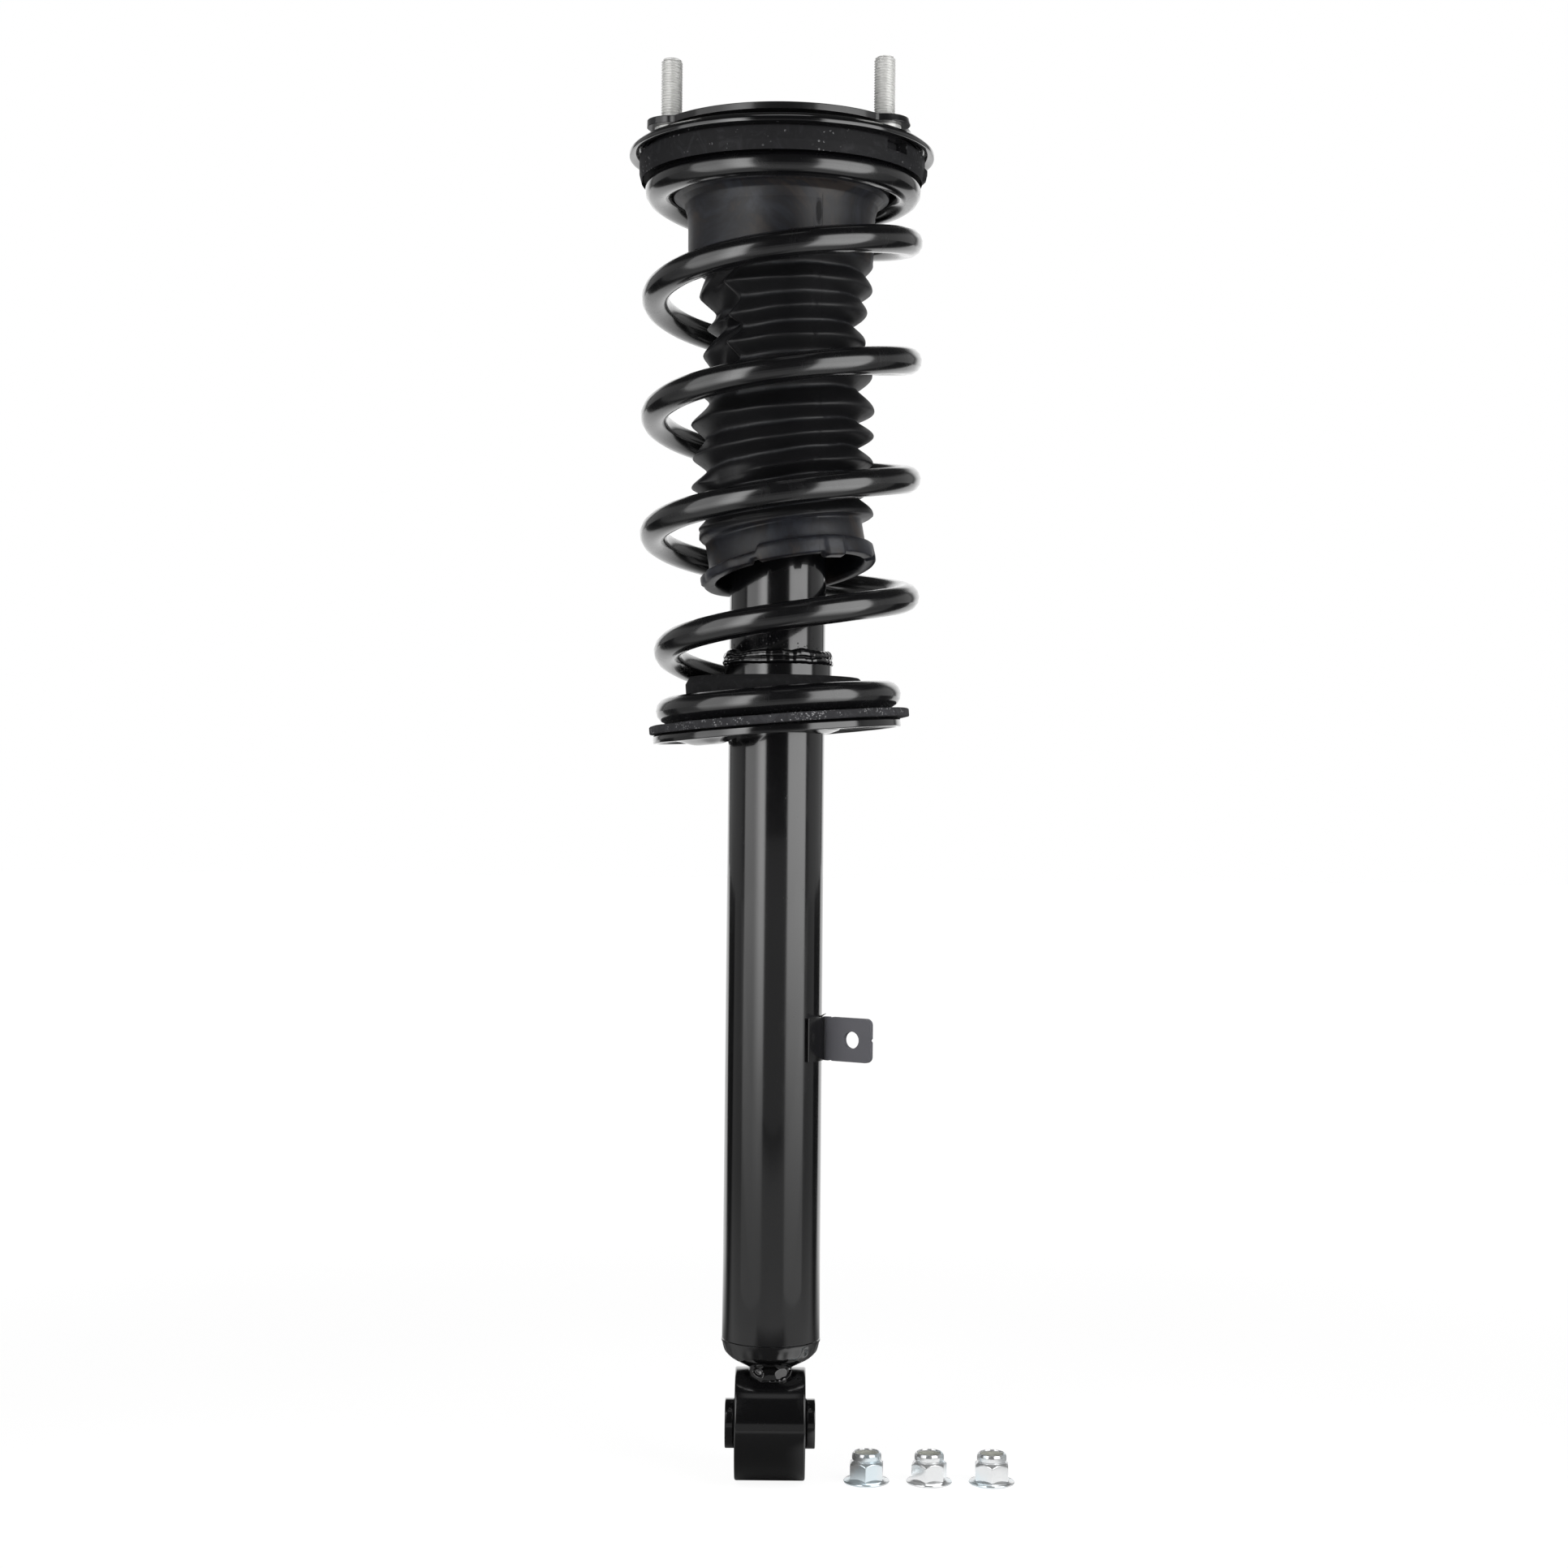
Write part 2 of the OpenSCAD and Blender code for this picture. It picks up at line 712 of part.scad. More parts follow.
// Height of a coil that takes up its pitch smoothly after its start
function eased(turn, start, ramp) =
    turn <= start ? 0
    : turn < start + ramp ? pow(turn - start, 2) / (2 * ramp)
    : turn - start - ramp / 2;
function smooth(from, to, turn) =
    let (share = min(1, max(0, (turn - from) / (to - from))))
    share * share * (3 - 2 * share);

function coil_r(turn) =
    bottom_coil_d / 2
    + (coil_d - bottom_coil_d) / 2 * smooth(bottom_mid + 90, bottom_mid + 350, turn)
    + (top_coil_d - coil_d) / 2 * smooth(top_mid - 180, top_mid + 60, turn);
function coil_tilt(turn) =
    tan(seat_lean) * coil_r(turn) * cos(turn) * (1 - smooth(0, 180, turn));
function coil_rise(turn) =
    coil_pitch / 360
    * (eased(turn, bottom_start, bottom_ramp) - eased(turn, top_start, top_ramp));
function coil_point(turn) =
    [coil_r(turn) * cos(turn) + spring_offset,
     coil_r(turn) * sin(turn),
     bottom_coil_z + coil_rise(turn) + coil_tilt(turn)];

function unit(v) = v / norm(v);
function wire_ring(turn) =
    let (
        ahead = unit(coil_point(turn + 1) - coil_point(turn - 1)),
        out = [cos(turn), sin(turn), 0],
        side = unit(out - (out * ahead) * ahead),
        up = cross(ahead, side)
    )
    [for (i = [0:wire_sides - 1])
        let (a = 360 * i / wire_sides)
        coil_point(turn) + wire_r * (cos(a) * side + sin(a) * up)];

coil_turns = [for (i = [0:coil_rings]) first_turn + (last_turn - first_turn) * i / coil_rings];
coil_middles = [for (turn = coil_turns) coil_point(turn)];
// Least clear distance between two stretches of wire at least half a turn apart
spring_gap = min([for (i = [0:coil_rings - rings_per_turn / 2])
    for (j = [i + rings_per_turn / 2:coil_rings])
        norm(coil_middles[i] - coil_middles[j])]) - wire_d;
echo(spring_gap = spring_gap);

module coil_spring() {
    points = [for (turn = coil_turns) each wire_ring(turn)];
    last = coil_rings * wire_sides;
    function corner(ringno, side) = ringno * wire_sides + side % wire_sides;
    sides = [for (r = [0:coil_rings - 1]) for (s = [0:wire_sides - 1]) each [
        [corner(r, s), corner(r, s + 1), corner(r + 1, s + 1)],
        [corner(r, s), corner(r + 1, s + 1), corner(r + 1, s)]
    ]];
    start_cap = [for (s = [1:wire_sides - 2]) [0, s + 1, s]];
    end_cap = [for (s = [1:wire_sides - 2]) [last, last + s, last + s + 1]];
    color(black_paint)
        polyhedron(points = points, faces = concat(sides, start_cap, end_cap));
}

module piston_rod() {
    bevel = 0.8;
    color(bare_steel)
        union() {
            translate([0, 0, rod_foot_z])
                cylinder(d = rod_d, h = rod_shoulder_z - rod_foot_z);
            translate([0, 0, rod_shoulder_z - past])
                cylinder(d = spigot_d, h = rod_top_z - rod_shoulder_z + past - bevel);
            translate([0, 0, rod_top_z - bevel])
                cylinder(d1 = spigot_d, d2 = spigot_d - 2 * bevel, h = bevel);
            translate([0, 0, spigot_foot_z])
                cylinder(d = spigot_d, h = rod_foot_z - spigot_foot_z + past);
        }
}

module rebound_stop() {
    color(grey_rubber)
        ring(rebound_stop_d / 2, rod_d / 2, stop_top_z, stop_foot_z);
}

module valve_discs() {
    color(bright_zinc) {
        ring(disc_d / 2, spigot_bore_r, rod_foot_z, piston_top_z);
        ring(disc_d / 2, spigot_bore_r, piston_foot_z, piston_nut_top_z);
    }
}

module piston() {
    land_r = pressure_r - 2 * run_gap;
    band_top_z = (piston_top_z + piston_foot_z + piston_band_h) / 2;
    color(bare_steel)
        difference() {
            ring(land_r, spigot_bore_r, piston_top_z, piston_foot_z);
            ring(land_r + past, land_r - piston_band_t, band_top_z, band_top_z - piston_band_h);
        }
}

module piston_band() {
    land_r = pressure_r - 2 * run_gap;
    band_top_z = (piston_top_z + piston_foot_z + piston_band_h) / 2;
    color(bronze)
        ring(pressure_r - run_gap, land_r - piston_band_t, band_top_z, band_top_z - piston_band_h);
}

module piston_nut() {
    color(bright_zinc)
        translate([0, 0, piston_nut_top_z - piston_nut_h])
            difference() {
                hexagon(piston_nut_af, piston_nut_h);
                translate([0, 0, -past])
                    cylinder(d = spigot_d, h = piston_nut_h + 2 * past);
            }
}

module at_nuts() {
    for (i = [0:nut_count - 1])
        translate([nut_first_x + i * nut_step, -nut_front, floor_z])
            rotate([0, 0, nut_turn])
                children();
}

module loose_nuts() {
    body_z = nut_flange_t + nut_cone_h;
    hex_h = nut_h - body_z - nut_collar_h + insert_seat;
    corner_d = nut_af / cos(30);
    bevel = 1.2;
    color(bright_zinc)
        at_nuts()
            difference() {
                union() {
                    cylinder(d = nut_flange_d, h = nut_flange_t);
                    translate([0, 0, nut_flange_t])
                        cylinder(d1 = nut_flange_d, d2 = nut_af, h = nut_cone_h);
                    intersection() {
                        translate([0, 0, nut_flange_t])
                            hexagon(nut_af, hex_h + nut_cone_h);
                        union() {
                            cylinder(d = corner_d, h = body_z + hex_h - bevel);
                            translate([0, 0, body_z + hex_h - bevel])
                                cylinder(d1 = corner_d, d2 = corner_d - 2 * bevel, h = bevel);
                        }
                    }
                    translate([0, 0, body_z])
                        cylinder(d = nut_collar_d, h = nut_h - body_z);
                }
                translate([0, 0, -past])
                    cylinder(d = stud_d - 2 * thread_depth, h = nut_h + 2 * past);
                translate([0, 0, nut_h - nut_collar_h])
                    cylinder(r = insert_r, h = nut_collar_h + past);
            }
}

module nut_inserts() {
    top_z = nut_h - insert_lip;
    grip = 0.4;
    color(nylon)
        at_nuts()
            ring(insert_r, stud_d / 2 - grip, top_z, nut_h - nut_collar_h);
}

module bump_cap() {
    bore_r = tube_d / 2 + run_gap;
    outer_r = bore_r + bump_cap_wall;
    rod_clear_r = rod_d / 2 + 2;
    top_z = tube_top_z + soft_gap + bump_cap_wall;
    color(black_paint)
        union() {
            ring(outer_r, bore_r, tube_top_z + soft_gap, top_z - bump_cap_h);
            ring(outer_r, rod_clear_r, top_z, tube_top_z + soft_gap);
        }
}

module damper_tube() {
    outer_r = tube_d / 2;
    lip_r = rod_d / 2 + 9;
    roll = 1.5;
    color(black_paint)
        rotate_extrude()
            polygon([
                [tube_bore_r, tube_foot_z], [outer_r, tube_foot_z],
                [outer_r, tube_top_z - roll], [outer_r - roll, tube_top_z],
                [lip_r, tube_top_z], [lip_r, tube_top_z - tube_wall],
                [tube_bore_r, tube_top_z - tube_wall]
            ]);
}

module oil_seal() {
    color(dark_rubber)
        ring(tube_bore_r - run_gap, rod_bore_r, seal_top_z, seal_top_z - seal_h);
}

module rod_guide() {
    bush_r = rod_bore_r + guide_bush_wall;
    color(bare_steel)
        union() {
            ring(tube_bore_r - run_gap, bush_r, guide_top_z, guide_step_z);
            ring(pressure_r - run_gap, bush_r, guide_step_z, guide_foot_z);
        }
}

module guide_bush() {
    color(bronze)
        ring(rod_bore_r + guide_bush_wall, rod_bore_r, guide_top_z, guide_foot_z);
}

module pressure_tube() {
    color(bare_steel)
        ring(pressure_r + pressure_wall, pressure_r, guide_step_z, base_valve_top_z);
}

module base_valve() {
    port_r = 1.6;
    port_count = 6;
    color(bare_steel)
        difference() {
            union() {
                ring(pressure_r + pressure_wall, spigot_d / 4, base_valve_top_z, plug_top_z);
                ring(pressure_r - run_gap, spigot_d / 4,
                     base_valve_top_z + base_valve_spigot_h, base_valve_top_z);
            }
            for (i = [0:port_count - 1])
                rotate([0, 0, i * 360 / port_count])
                    translate([pressure_r * 0.6, 0, plug_top_z - past])
                        cylinder(r = port_r, h = base_valve_t + base_valve_spigot_h + 2 * past);
        }
}

module base_shape() {
    outer_r = tube_d / 2;
    rotate_extrude()
        polygon(concat(
            [[0, plug_top_z], [tube_bore_r, plug_top_z], [tube_bore_r, tube_foot_z]],
            arc([outer_r - base_round, tube_foot_z], base_round, 0, -90, 8),
            [[base_neck_d / 2, base_foot_z], [0, base_foot_z]]
        ));
}

module eye_outside() {
    translate([0, 0, eye_z])
        along_x(eye_w)
            cylinder(d = eye_d, h = eye_w);
}

module base_cap() {
    color(black_paint)
        base_shape();
}

module leaning() {
    translate([0, 0, dish_top_z])
        rotate([0, -seat_lean, 0])
            children();
}

module neck_cutter(extra) {
    root_h = 6;
    translate([neck_offset, 0, dish_top_z - dish_t]) {
        cylinder(r = neck_d / 2 + extra, h = neck_h + 2 * dish_t);
        cylinder(r1 = neck_d / 2 + root_h + extra, r2 = neck_d / 2 + extra, h = root_h + dish_t);
    }
}

module lower_seat() {
    rim_r = dish_d / 2;
    hole_r = tube_d / 2 - 4;
    pocket_r = bottom_coil_d / 2 + 1;
    reach = rim_r * 1.2;
    low_z = dish_top_z - dish_t - pocket_depth - 2 * dish_rim_h;
    edge = 1;
    color(black_paint)
        difference() {
            union() {
                leaning() {
                    rotate_extrude()
                        polygon([
                            [hole_r, -dish_t], [hole_r, 0], [rim_r - edge, 0],
                            [rim_r, -edge], [rim_r, -dish_rim_h],
                            [rim_r - dish_t + edge / 2, -dish_rim_h], [rim_r - dish_t, -dish_t]
                        ]);
                    intersection() {
                        ring(pocket_r + wire_r, pocket_r - wire_r, 0, -dish_t - pocket_depth);
                        rotate([0, 0, pocket_at])
                            linear_extrude(height = 4 * dish_rim_h, center = true)
                                polygon([
                                    [0, 0],
                                    reach * [cos(pocket_turn / 2), sin(pocket_turn / 2)],
                                    reach * [cos(pocket_turn / 2), -sin(pocket_turn / 2)]
                                ]);
                    }
                }
                intersection() {
                    neck_cutter(0);
                    translate([0, 0, dish_top_z - 1])
                        cylinder(r = rim_r, h = neck_h + 1);
                }
            }
            translate([0, 0, low_z])
                cylinder(d = tube_d, h = dish_top_z + neck_h - low_z + past);
        }
}

module seat_weld() {
    bead_r = seat_weld_d / 2;
    neck_top_z = dish_top_z + neck_h;
    color(black_paint)
        difference() {
            translate([neck_offset / 2, 0, neck_top_z])
                rotate_extrude()
                    translate([(neck_d + tube_d) / 4, 0])
                        circle(r = bead_r, $fn = 24);
            translate([0, 0, neck_top_z - seat_weld_d])
                cylinder(d = tube_d, h = 2 * seat_weld_d);
            translate([neck_offset, 0, neck_top_z - seat_weld_d])
                cylinder(d = neck_d, h = seat_weld_d);
        }
}

module lower_isolator() {
    hub_r = pad_hub_d / 2;
    flange_r = pad_d / 2;
    bore_r = tube_d / 2;
    crown = 3;
    color(grey_rubber)
        difference() {
            leaning()
                union() {
                    translate([pad_offset, 0, 0])
                        rotate_extrude()
                            polygon([
                                [bore_r, soft_gap], [flange_r - 1, soft_gap],
                                [flange_r, 1 + soft_gap], [flange_r, pad_t - 1],
                                [flange_r - 1, pad_t], [bore_r, pad_t]
                            ]);
                    rotate_extrude()
                        polygon([
                            [bore_r, pad_t - 1], [hub_r, pad_t - 1],
                            [hub_r, pad_t + pad_hub_h - crown],
                            [hub_r - crown, pad_t + pad_hub_h],
                            [bore_r, pad_t + pad_hub_h]
                        ]);
                }
            neck_cutter(soft_gap);
        }
}

// The ear's lower or upper outer corner, cut away down to its radius
module ear_corner_cutter() {
    rotate([90, 0, 0])
        linear_extrude(height = 4 * bracket_t, center = true)
            polygon(concat(
                arc([ear_len - ear_corner_r, bracket_h / 2 - ear_corner_r], ear_corner_r, 90, 0, 6),
                [[ear_len + past, bracket_h / 2 - ear_corner_r],
                 [ear_len + past, bracket_h / 2 + past],
                 [ear_len - ear_corner_r, bracket_h / 2 + past]]
            ));
}

module hose_bracket() {
    tube_r = tube_d / 2;
    mid_z = tube_top_z - bracket_drop;
    out_r = tube_r + bracket_t;
    fold_at = out_r * [cos(foot_to), -sin(foot_to)];
    foot_end = foot_to - atan(1.6 * bracket_t / tube_r);
    ear_dir = [cos(ear_turn), -sin(ear_turn)];
    sheet = bracket_t * [sin(ear_turn), cos(ear_turn)];
    ear_end = fold_at + ear_len * ear_dir;
    color(black_paint)
        translate([0, 0, mid_z])
            difference() {
                translate([0, 0, -bracket_h / 2])
                    linear_extrude(height = bracket_h)
                        polygon(concat(
                            arc([0, 0], out_r, -foot_from, -foot_to, 8),
                            [ear_end, ear_end + sheet, fold_at + sheet - bracket_t * ear_dir],
                            arc([0, 0], tube_r - past, -foot_end, -foot_from, 8)
                        ));
                translate([fold_at[0], fold_at[1], 0])
                    rotate([0, 0, -ear_turn]) {
                        translate([ear_hole_at, 0, 0])
                            rotate([90, 0, 0])
                                cylinder(d = ear_hole_d, h = 4 * bracket_t, center = true);
                        ear_corner_cutter();
                        mirror([0, 0, 1])
                            ear_corner_cutter();
                    }
                translate([0, 0, -bracket_h])
                    cylinder(r = tube_r, h = 2 * bracket_h);
            }
}

module eye_weld() {
    bead_r = eye_bead_d / 2;
    color(black_paint)
        difference() {
            translate([0, 0, base_foot_z])
                rotate_extrude()
                    translate([base_neck_d / 2, 0])
                        circle(r = bead_r, $fn = 24);
            base_shape();
            eye_outside();
        }
}

module eye_ring() {
    color(black_paint)
        difference() {
            eye_outside();
            translate([0, 0, eye_z])
                along_x(eye_w + 2 * past)
                    cylinder(r = eye_bore_r, h = eye_w + 2 * past);
        }
}

module bush_shell() {
    color(bare_steel)
        translate([0, 0, eye_z])
            along_x(eye_w)
                ring(eye_bore_r, bush_rubber_r, eye_w, 0);
}

module bush_rubber() {
    bore_r = bush_sleeve_d / 2 + run_gap;
    hollow = 3;
    edge = 1;
    collar = 3;
    mid_r = (bore_r + bush_rubber_r) / 2;
    inner_w = eye_w - 2 * edge;
    color(dark_rubber)
        translate([0, 0, eye_z])
            rotate([0, 90, 0])
                rotate_extrude()
                    polygon([
                        [bore_r, -inner_w / 2], [bore_r + collar, -inner_w / 2],
                        [mid_r, -eye_w / 2 + hollow],
                        [bush_rubber_r, -eye_w / 2 + edge], [bush_rubber_r, eye_w / 2 - edge],
                        [mid_r, eye_w / 2 - hollow],
                        [bore_r + collar, inner_w / 2], [bore_r, inner_w / 2]
                    ]);
}

module bush_sleeve() {
    color(black_paint)
        translate([0, 0, eye_z])
            along_x(bush_sleeve_len)
                ring(bush_sleeve_d / 2, bolt_bore_d / 2, bush_sleeve_len, 0);
}

mount_plate();
upper_studs();
mount_rubber();
mount_sleeve();
rod_washer();
rod_nut();
seat_cushion();
upper_seat();
upper_isolator();
bump_stop_cup();
bump_stop();
dust_boot();
coil_spring();
piston_rod();
rebound_stop();
valve_discs();
piston();
piston_band();
piston_nut();
loose_nuts();
nut_inserts();
bump_cap();
damper_tube();
oil_seal();
rod_guide();
guide_bush();
pressure_tube();
base_valve();
base_cap();
lower_seat();
seat_weld();
lower_isolator();
hose_bracket();
eye_weld();
eye_ring();
bush_shell();
bush_rubber();
bush_sleeve();
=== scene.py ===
"""Models and finishes a coil-over suspension strut round its CAD frame.

The frame is in metres. Outlines and places below are written in millimetres, in the
same frame: the origin is the centre of the stud circle on the mount plate, +Z runs up
the damper axis, +X runs along the lower bolt and -Y faces the camera.
"""

import json
import math
import random

import bpy
from bpy.props import FloatProperty, FloatVectorProperty, PointerProperty
from mathutils import Matrix, Vector, noise


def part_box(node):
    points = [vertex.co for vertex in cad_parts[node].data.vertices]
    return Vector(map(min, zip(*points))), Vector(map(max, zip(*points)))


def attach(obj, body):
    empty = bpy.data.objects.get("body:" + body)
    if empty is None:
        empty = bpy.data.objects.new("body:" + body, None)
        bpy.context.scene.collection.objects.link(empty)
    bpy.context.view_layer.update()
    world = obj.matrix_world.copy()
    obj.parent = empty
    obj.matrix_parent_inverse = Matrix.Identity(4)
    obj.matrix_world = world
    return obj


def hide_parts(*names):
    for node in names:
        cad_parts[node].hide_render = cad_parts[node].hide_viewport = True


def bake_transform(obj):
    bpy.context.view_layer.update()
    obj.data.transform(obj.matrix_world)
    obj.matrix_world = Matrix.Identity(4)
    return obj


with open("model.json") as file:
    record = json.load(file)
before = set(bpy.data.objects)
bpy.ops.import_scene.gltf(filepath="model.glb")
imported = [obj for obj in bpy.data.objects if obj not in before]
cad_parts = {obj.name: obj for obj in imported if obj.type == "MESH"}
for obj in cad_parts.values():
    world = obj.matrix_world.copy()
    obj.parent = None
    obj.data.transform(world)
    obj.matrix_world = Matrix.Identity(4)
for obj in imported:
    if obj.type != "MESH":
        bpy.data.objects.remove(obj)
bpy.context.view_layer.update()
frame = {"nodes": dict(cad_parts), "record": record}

bl_info = {
    "name": "Suspension strut",
    "version": (1, 0, 0),
    "blender": (4, 5, 0),
    "location": "View3D > Sidebar > Strut",
    "description": "Models and finishes a coil-over suspension strut round its CAD frame",
    "category": "Object",
}

MM = 0.001
FULL = 2 * math.pi


def span(node):
    """Lowest and highest corner of a CAD node in millimetres."""
    low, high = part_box(node)
    return low / MM, high / MM


def round_size(node):
    """Radius, foot and top of a CAD node that is round about the damper's axis."""
    low, high = span(node)
    return (high.x - low.x) / 2, low.z, high.z


# Heights and radii that the CAD gives, in millimetres
TUBE_R, TUBE_FOOT = round_size("damper_tube")[:2]
EYE_LOW, EYE_HIGH = span("eye_ring")
EYE_Z = (EYE_LOW.z + EYE_HIGH.z) / 2
EYE_R = (EYE_HIGH.z - EYE_LOW.z) / 2
EYE_W = EYE_HIGH.x - EYE_LOW.x
SLEEVE_LOW, SLEEVE_HIGH = span("bush_sleeve")
SLEEVE_R = (SLEEVE_HIGH.z - SLEEVE_LOW.z) / 2
FLOOR_Z = span("loose_nuts")[0].z
# The lower seat: top of its neck, top of its dish, its lean and its neck's place along X
NECK_TOP = -247.1
DISH_TOP = -282.1
SEAT_LEAN = math.radians(4.7)
SEAT_SHIFT = 0.8


# ---------------------------------------------------------------- sizes and colours

class StrutSizes(bpy.types.PropertyGroup):
    """Sizes of the finish that the CAD leaves open."""
    wire: FloatProperty(
        name="Wire diameter", description="Diameter of the spring wire",
        default=0.013, min=0.012, max=0.0136, unit="LENGTH")
    thread_pitch: FloatProperty(
        name="Thread pitch", description="Rise of one turn of the studs' thread",
        default=0.00125, min=0.001, max=0.0015, unit="LENGTH")
    weld_ripple: FloatProperty(
        name="Weld ripple", description="How uneven the weld beads are",
        default=0.0007, min=0, max=0.0015, unit="LENGTH")
    fold_sag: FloatProperty(
        name="Fold sag", description="How unevenly the boot's folds hang",
        default=0.0006, min=0, max=0.002, unit="LENGTH")
    lamp_level: FloatProperty(
        name="Lamp level", description="Brightness of the soft boxes",
        default=1.0, min=0.2, max=3, subtype="FACTOR")


def colour(name, description, value):
    """A colour that the panel shows."""
    return FloatVectorProperty(name=name, description=description, default=value,
                               min=0, max=1, size=3, subtype="COLOR")


class StrutColours(bpy.types.PropertyGroup):
    """Colours of the finishes."""
    enamel: colour("Enamel", "Black paint of the steel parts", (0.004, 0.004, 0.0046))
    plate: colour("Plate", "Duller paint of the pressed plates", (0.009, 0.009, 0.010))
    isolator: colour("Isolator", "Rubber of the mount and the upper isolator",
                     (0.0085, 0.0085, 0.0097))
    pad: colour("Lower pad", "Rubber of the lower isolator", (0.034, 0.034, 0.037))
    boot: colour("Boot", "Rubber of the dust boot", (0.0055, 0.0055, 0.0065))
    stud: colour("Studs", "Dull zinc of the studs", (0.84, 0.84, 0.82))
    nut: colour("Nuts", "Bright zinc of the nuts", (0.95, 0.97, 0.98))
    nylon: colour("Inserts", "Nylon of the locking inserts", (0.56, 0.56, 0.50))
    steel: colour("Steel", "Bare machined steel", (0.50, 0.50, 0.50))
    bronze: colour("Bronze", "Sintered bronze", (0.50, 0.36, 0.18))
    foam: colour("Bump stop", "Cellular polyurethane", (0.42, 0.36, 0.22))
    floor: colour("Floor", "Paint of the floor", (0.19, 0.19, 0.19))


def sizes():
    """The sizes set in the scene."""
    return bpy.context.scene.strut_sizes


def colours():
    """The colours set in the scene."""
    return bpy.context.scene.strut_colours


# ---------------------------------------------------------------- shader kit

class Value:
    """One socket of a shader, with Python's own operators on it."""

    def __init__(self, paint, socket):
        self.paint = paint
        self.socket = socket

    def math(self, operation, *others):
        """A Math node on this value and the others."""
        return self.paint.node("ShaderNodeMath", {"operation": operation}, [self, *others])

    def __add__(self, other):
        return self.math("ADD", other)

    def __sub__(self, other):
        return self.math("SUBTRACT", other)

    def __rsub__(self, other):
        return self.paint.node("ShaderNodeMath", {"operation": "SUBTRACT"}, [other, self])

    def __mul__(self, other):
        return self.math("MULTIPLY", other)

    def __truediv__(self, other):
        return self.math("DIVIDE", other)

    def __pow__(self, other):
        return self.math("POWER", other)

    __radd__ = __add__
    __rmul__ = __mul__

    def above(self, edge, soft=0.05):
        """0 below the edge and 1 above it, with a soft step between."""
        return self.paint.node("ShaderNodeMapRange", {"interpolation_type": "SMOOTHSTEP"},
                               {0: self, 1: edge - soft, 2: edge + soft})

    def part(self, out):
        """Another output of the same node."""
        return Value(self.paint, self.socket.node.outputs[out])

    def most(self, other):
        """The greater of two values."""
        return self.math("MAXIMUM", other)


class Tree:
    """A node tree and the calls that fill it."""

    def __init__(self, tree):
        self.tree = tree

    def put(self, socket, value):
        """Links a value to a socket, or sets the socket to a constant."""
        if isinstance(value, Value):
            self.tree.links.new(value.socket, socket)
        else:
            socket.default_value = value

    def node(self, kind, settings=None, values=(), out=0):
        """A new node with its settings, the values or links of its sockets, and one output."""
        made = self.tree.nodes.new(kind)
        for key, value in (settings or {}).items():
            setattr(made, key, value)
        pairs = values.items() if isinstance(values, dict) else enumerate(values)
        for place, value in pairs:
            self.put(made.inputs[place], value)
        return Value(self, made.outputs[out])


class Paint(Tree):
    """A material and the nodes that make it."""

    def __init__(self, name, **fixed):
        self.material = bpy.data.materials.new(name)
        self.material.use_nodes = True
        super().__init__(self.material.node_tree)
        self.shader = self.tree.nodes["Principled BSDF"]
        for socket, value in fixed.items():
            self.into(socket.replace("_", " "), value)

    def into(self, socket, value):
        """Feeds the principled shader."""
        self.put(self.shader.inputs[socket], value)

    def where(self, scale=(1, 1, 1)):
        """Object coordinates, stretched by a scale for each axis."""
        place = self.node("ShaderNodeTexCoord", out=3)
        if scale == (1, 1, 1):
            return place
        return self.node("ShaderNodeMapping", values={0: place, 3: scale})

    def noise(self, where, scale, detail=2.0, rough=0.5, bend=0.0):
        """Cloudy noise from 0 to 1."""
        return self.node("ShaderNodeTexNoise",
                         values={"Vector": where, "Scale": scale, "Detail": detail,
                                 "Roughness": rough, "Distortion": bend})

    def cells(self, where, scale):
        """Distance from the nearest of many scattered points."""
        return self.node("ShaderNodeTexVoronoi", values={"Vector": where, "Scale": scale})

    def mix(self, share, first, second):
        """The first colour where the share is 0 and the second where it is 1."""
        first, second = [(*c, 1) if isinstance(c, tuple) and len(c) == 3 else c
                         for c in (first, second)]
        return self.node("ShaderNodeMix", {"data_type": "RGBA"},
                         {0: share, 6: first, 7: second}, out=2)

    def bump(self, height, strength, distance=0.0002):
        """Relief that is too fine to model."""
        self.into("Normal", self.node("ShaderNodeBump",
                                      values={"Strength": strength, "Distance": distance,
                                              "Height": height}))


def shade(base, factor):
    """A colour made lighter or darker."""
    return tuple(min(1.0, channel * factor) for channel in base)


def enamel(name, base, rough=0.12, coat=1.0, peel=0.10, dust=1.0, coat_rough=0.05):
    """Gloss black paint: slight orange peel, a faint cloudy film and dust in the paint."""
    paint = Paint(name, Coat_Roughness=coat_rough, IOR=1.5, Coat_Weight=coat)
    where = paint.where()
    cloud = paint.noise(where, 28, 4, 0.6)
    film = paint.noise(paint.where((1, 1, 0.35)), 55, 3, 0.7, 1.5).above(0.60, 0.14)
    grain = paint.noise(where, 620, 2, 0.5)
    speck = 1 - paint.cells(where, 420).above(0.10, 0.05)
    rare = paint.noise(where, 160, 1).above(0.66, 0.03)
    grit = speck * rare * dust
    paint.into("Base Color", paint.mix(cloud, shade(base, 0.75), shade(base, 1.35)))
    paint.into("Roughness", rough + 0.10 * film + 0.05 * cloud + 0.3 * grit)
    paint.bump(grain * 0.5 + grit * 2.5, peel)
    return paint.material


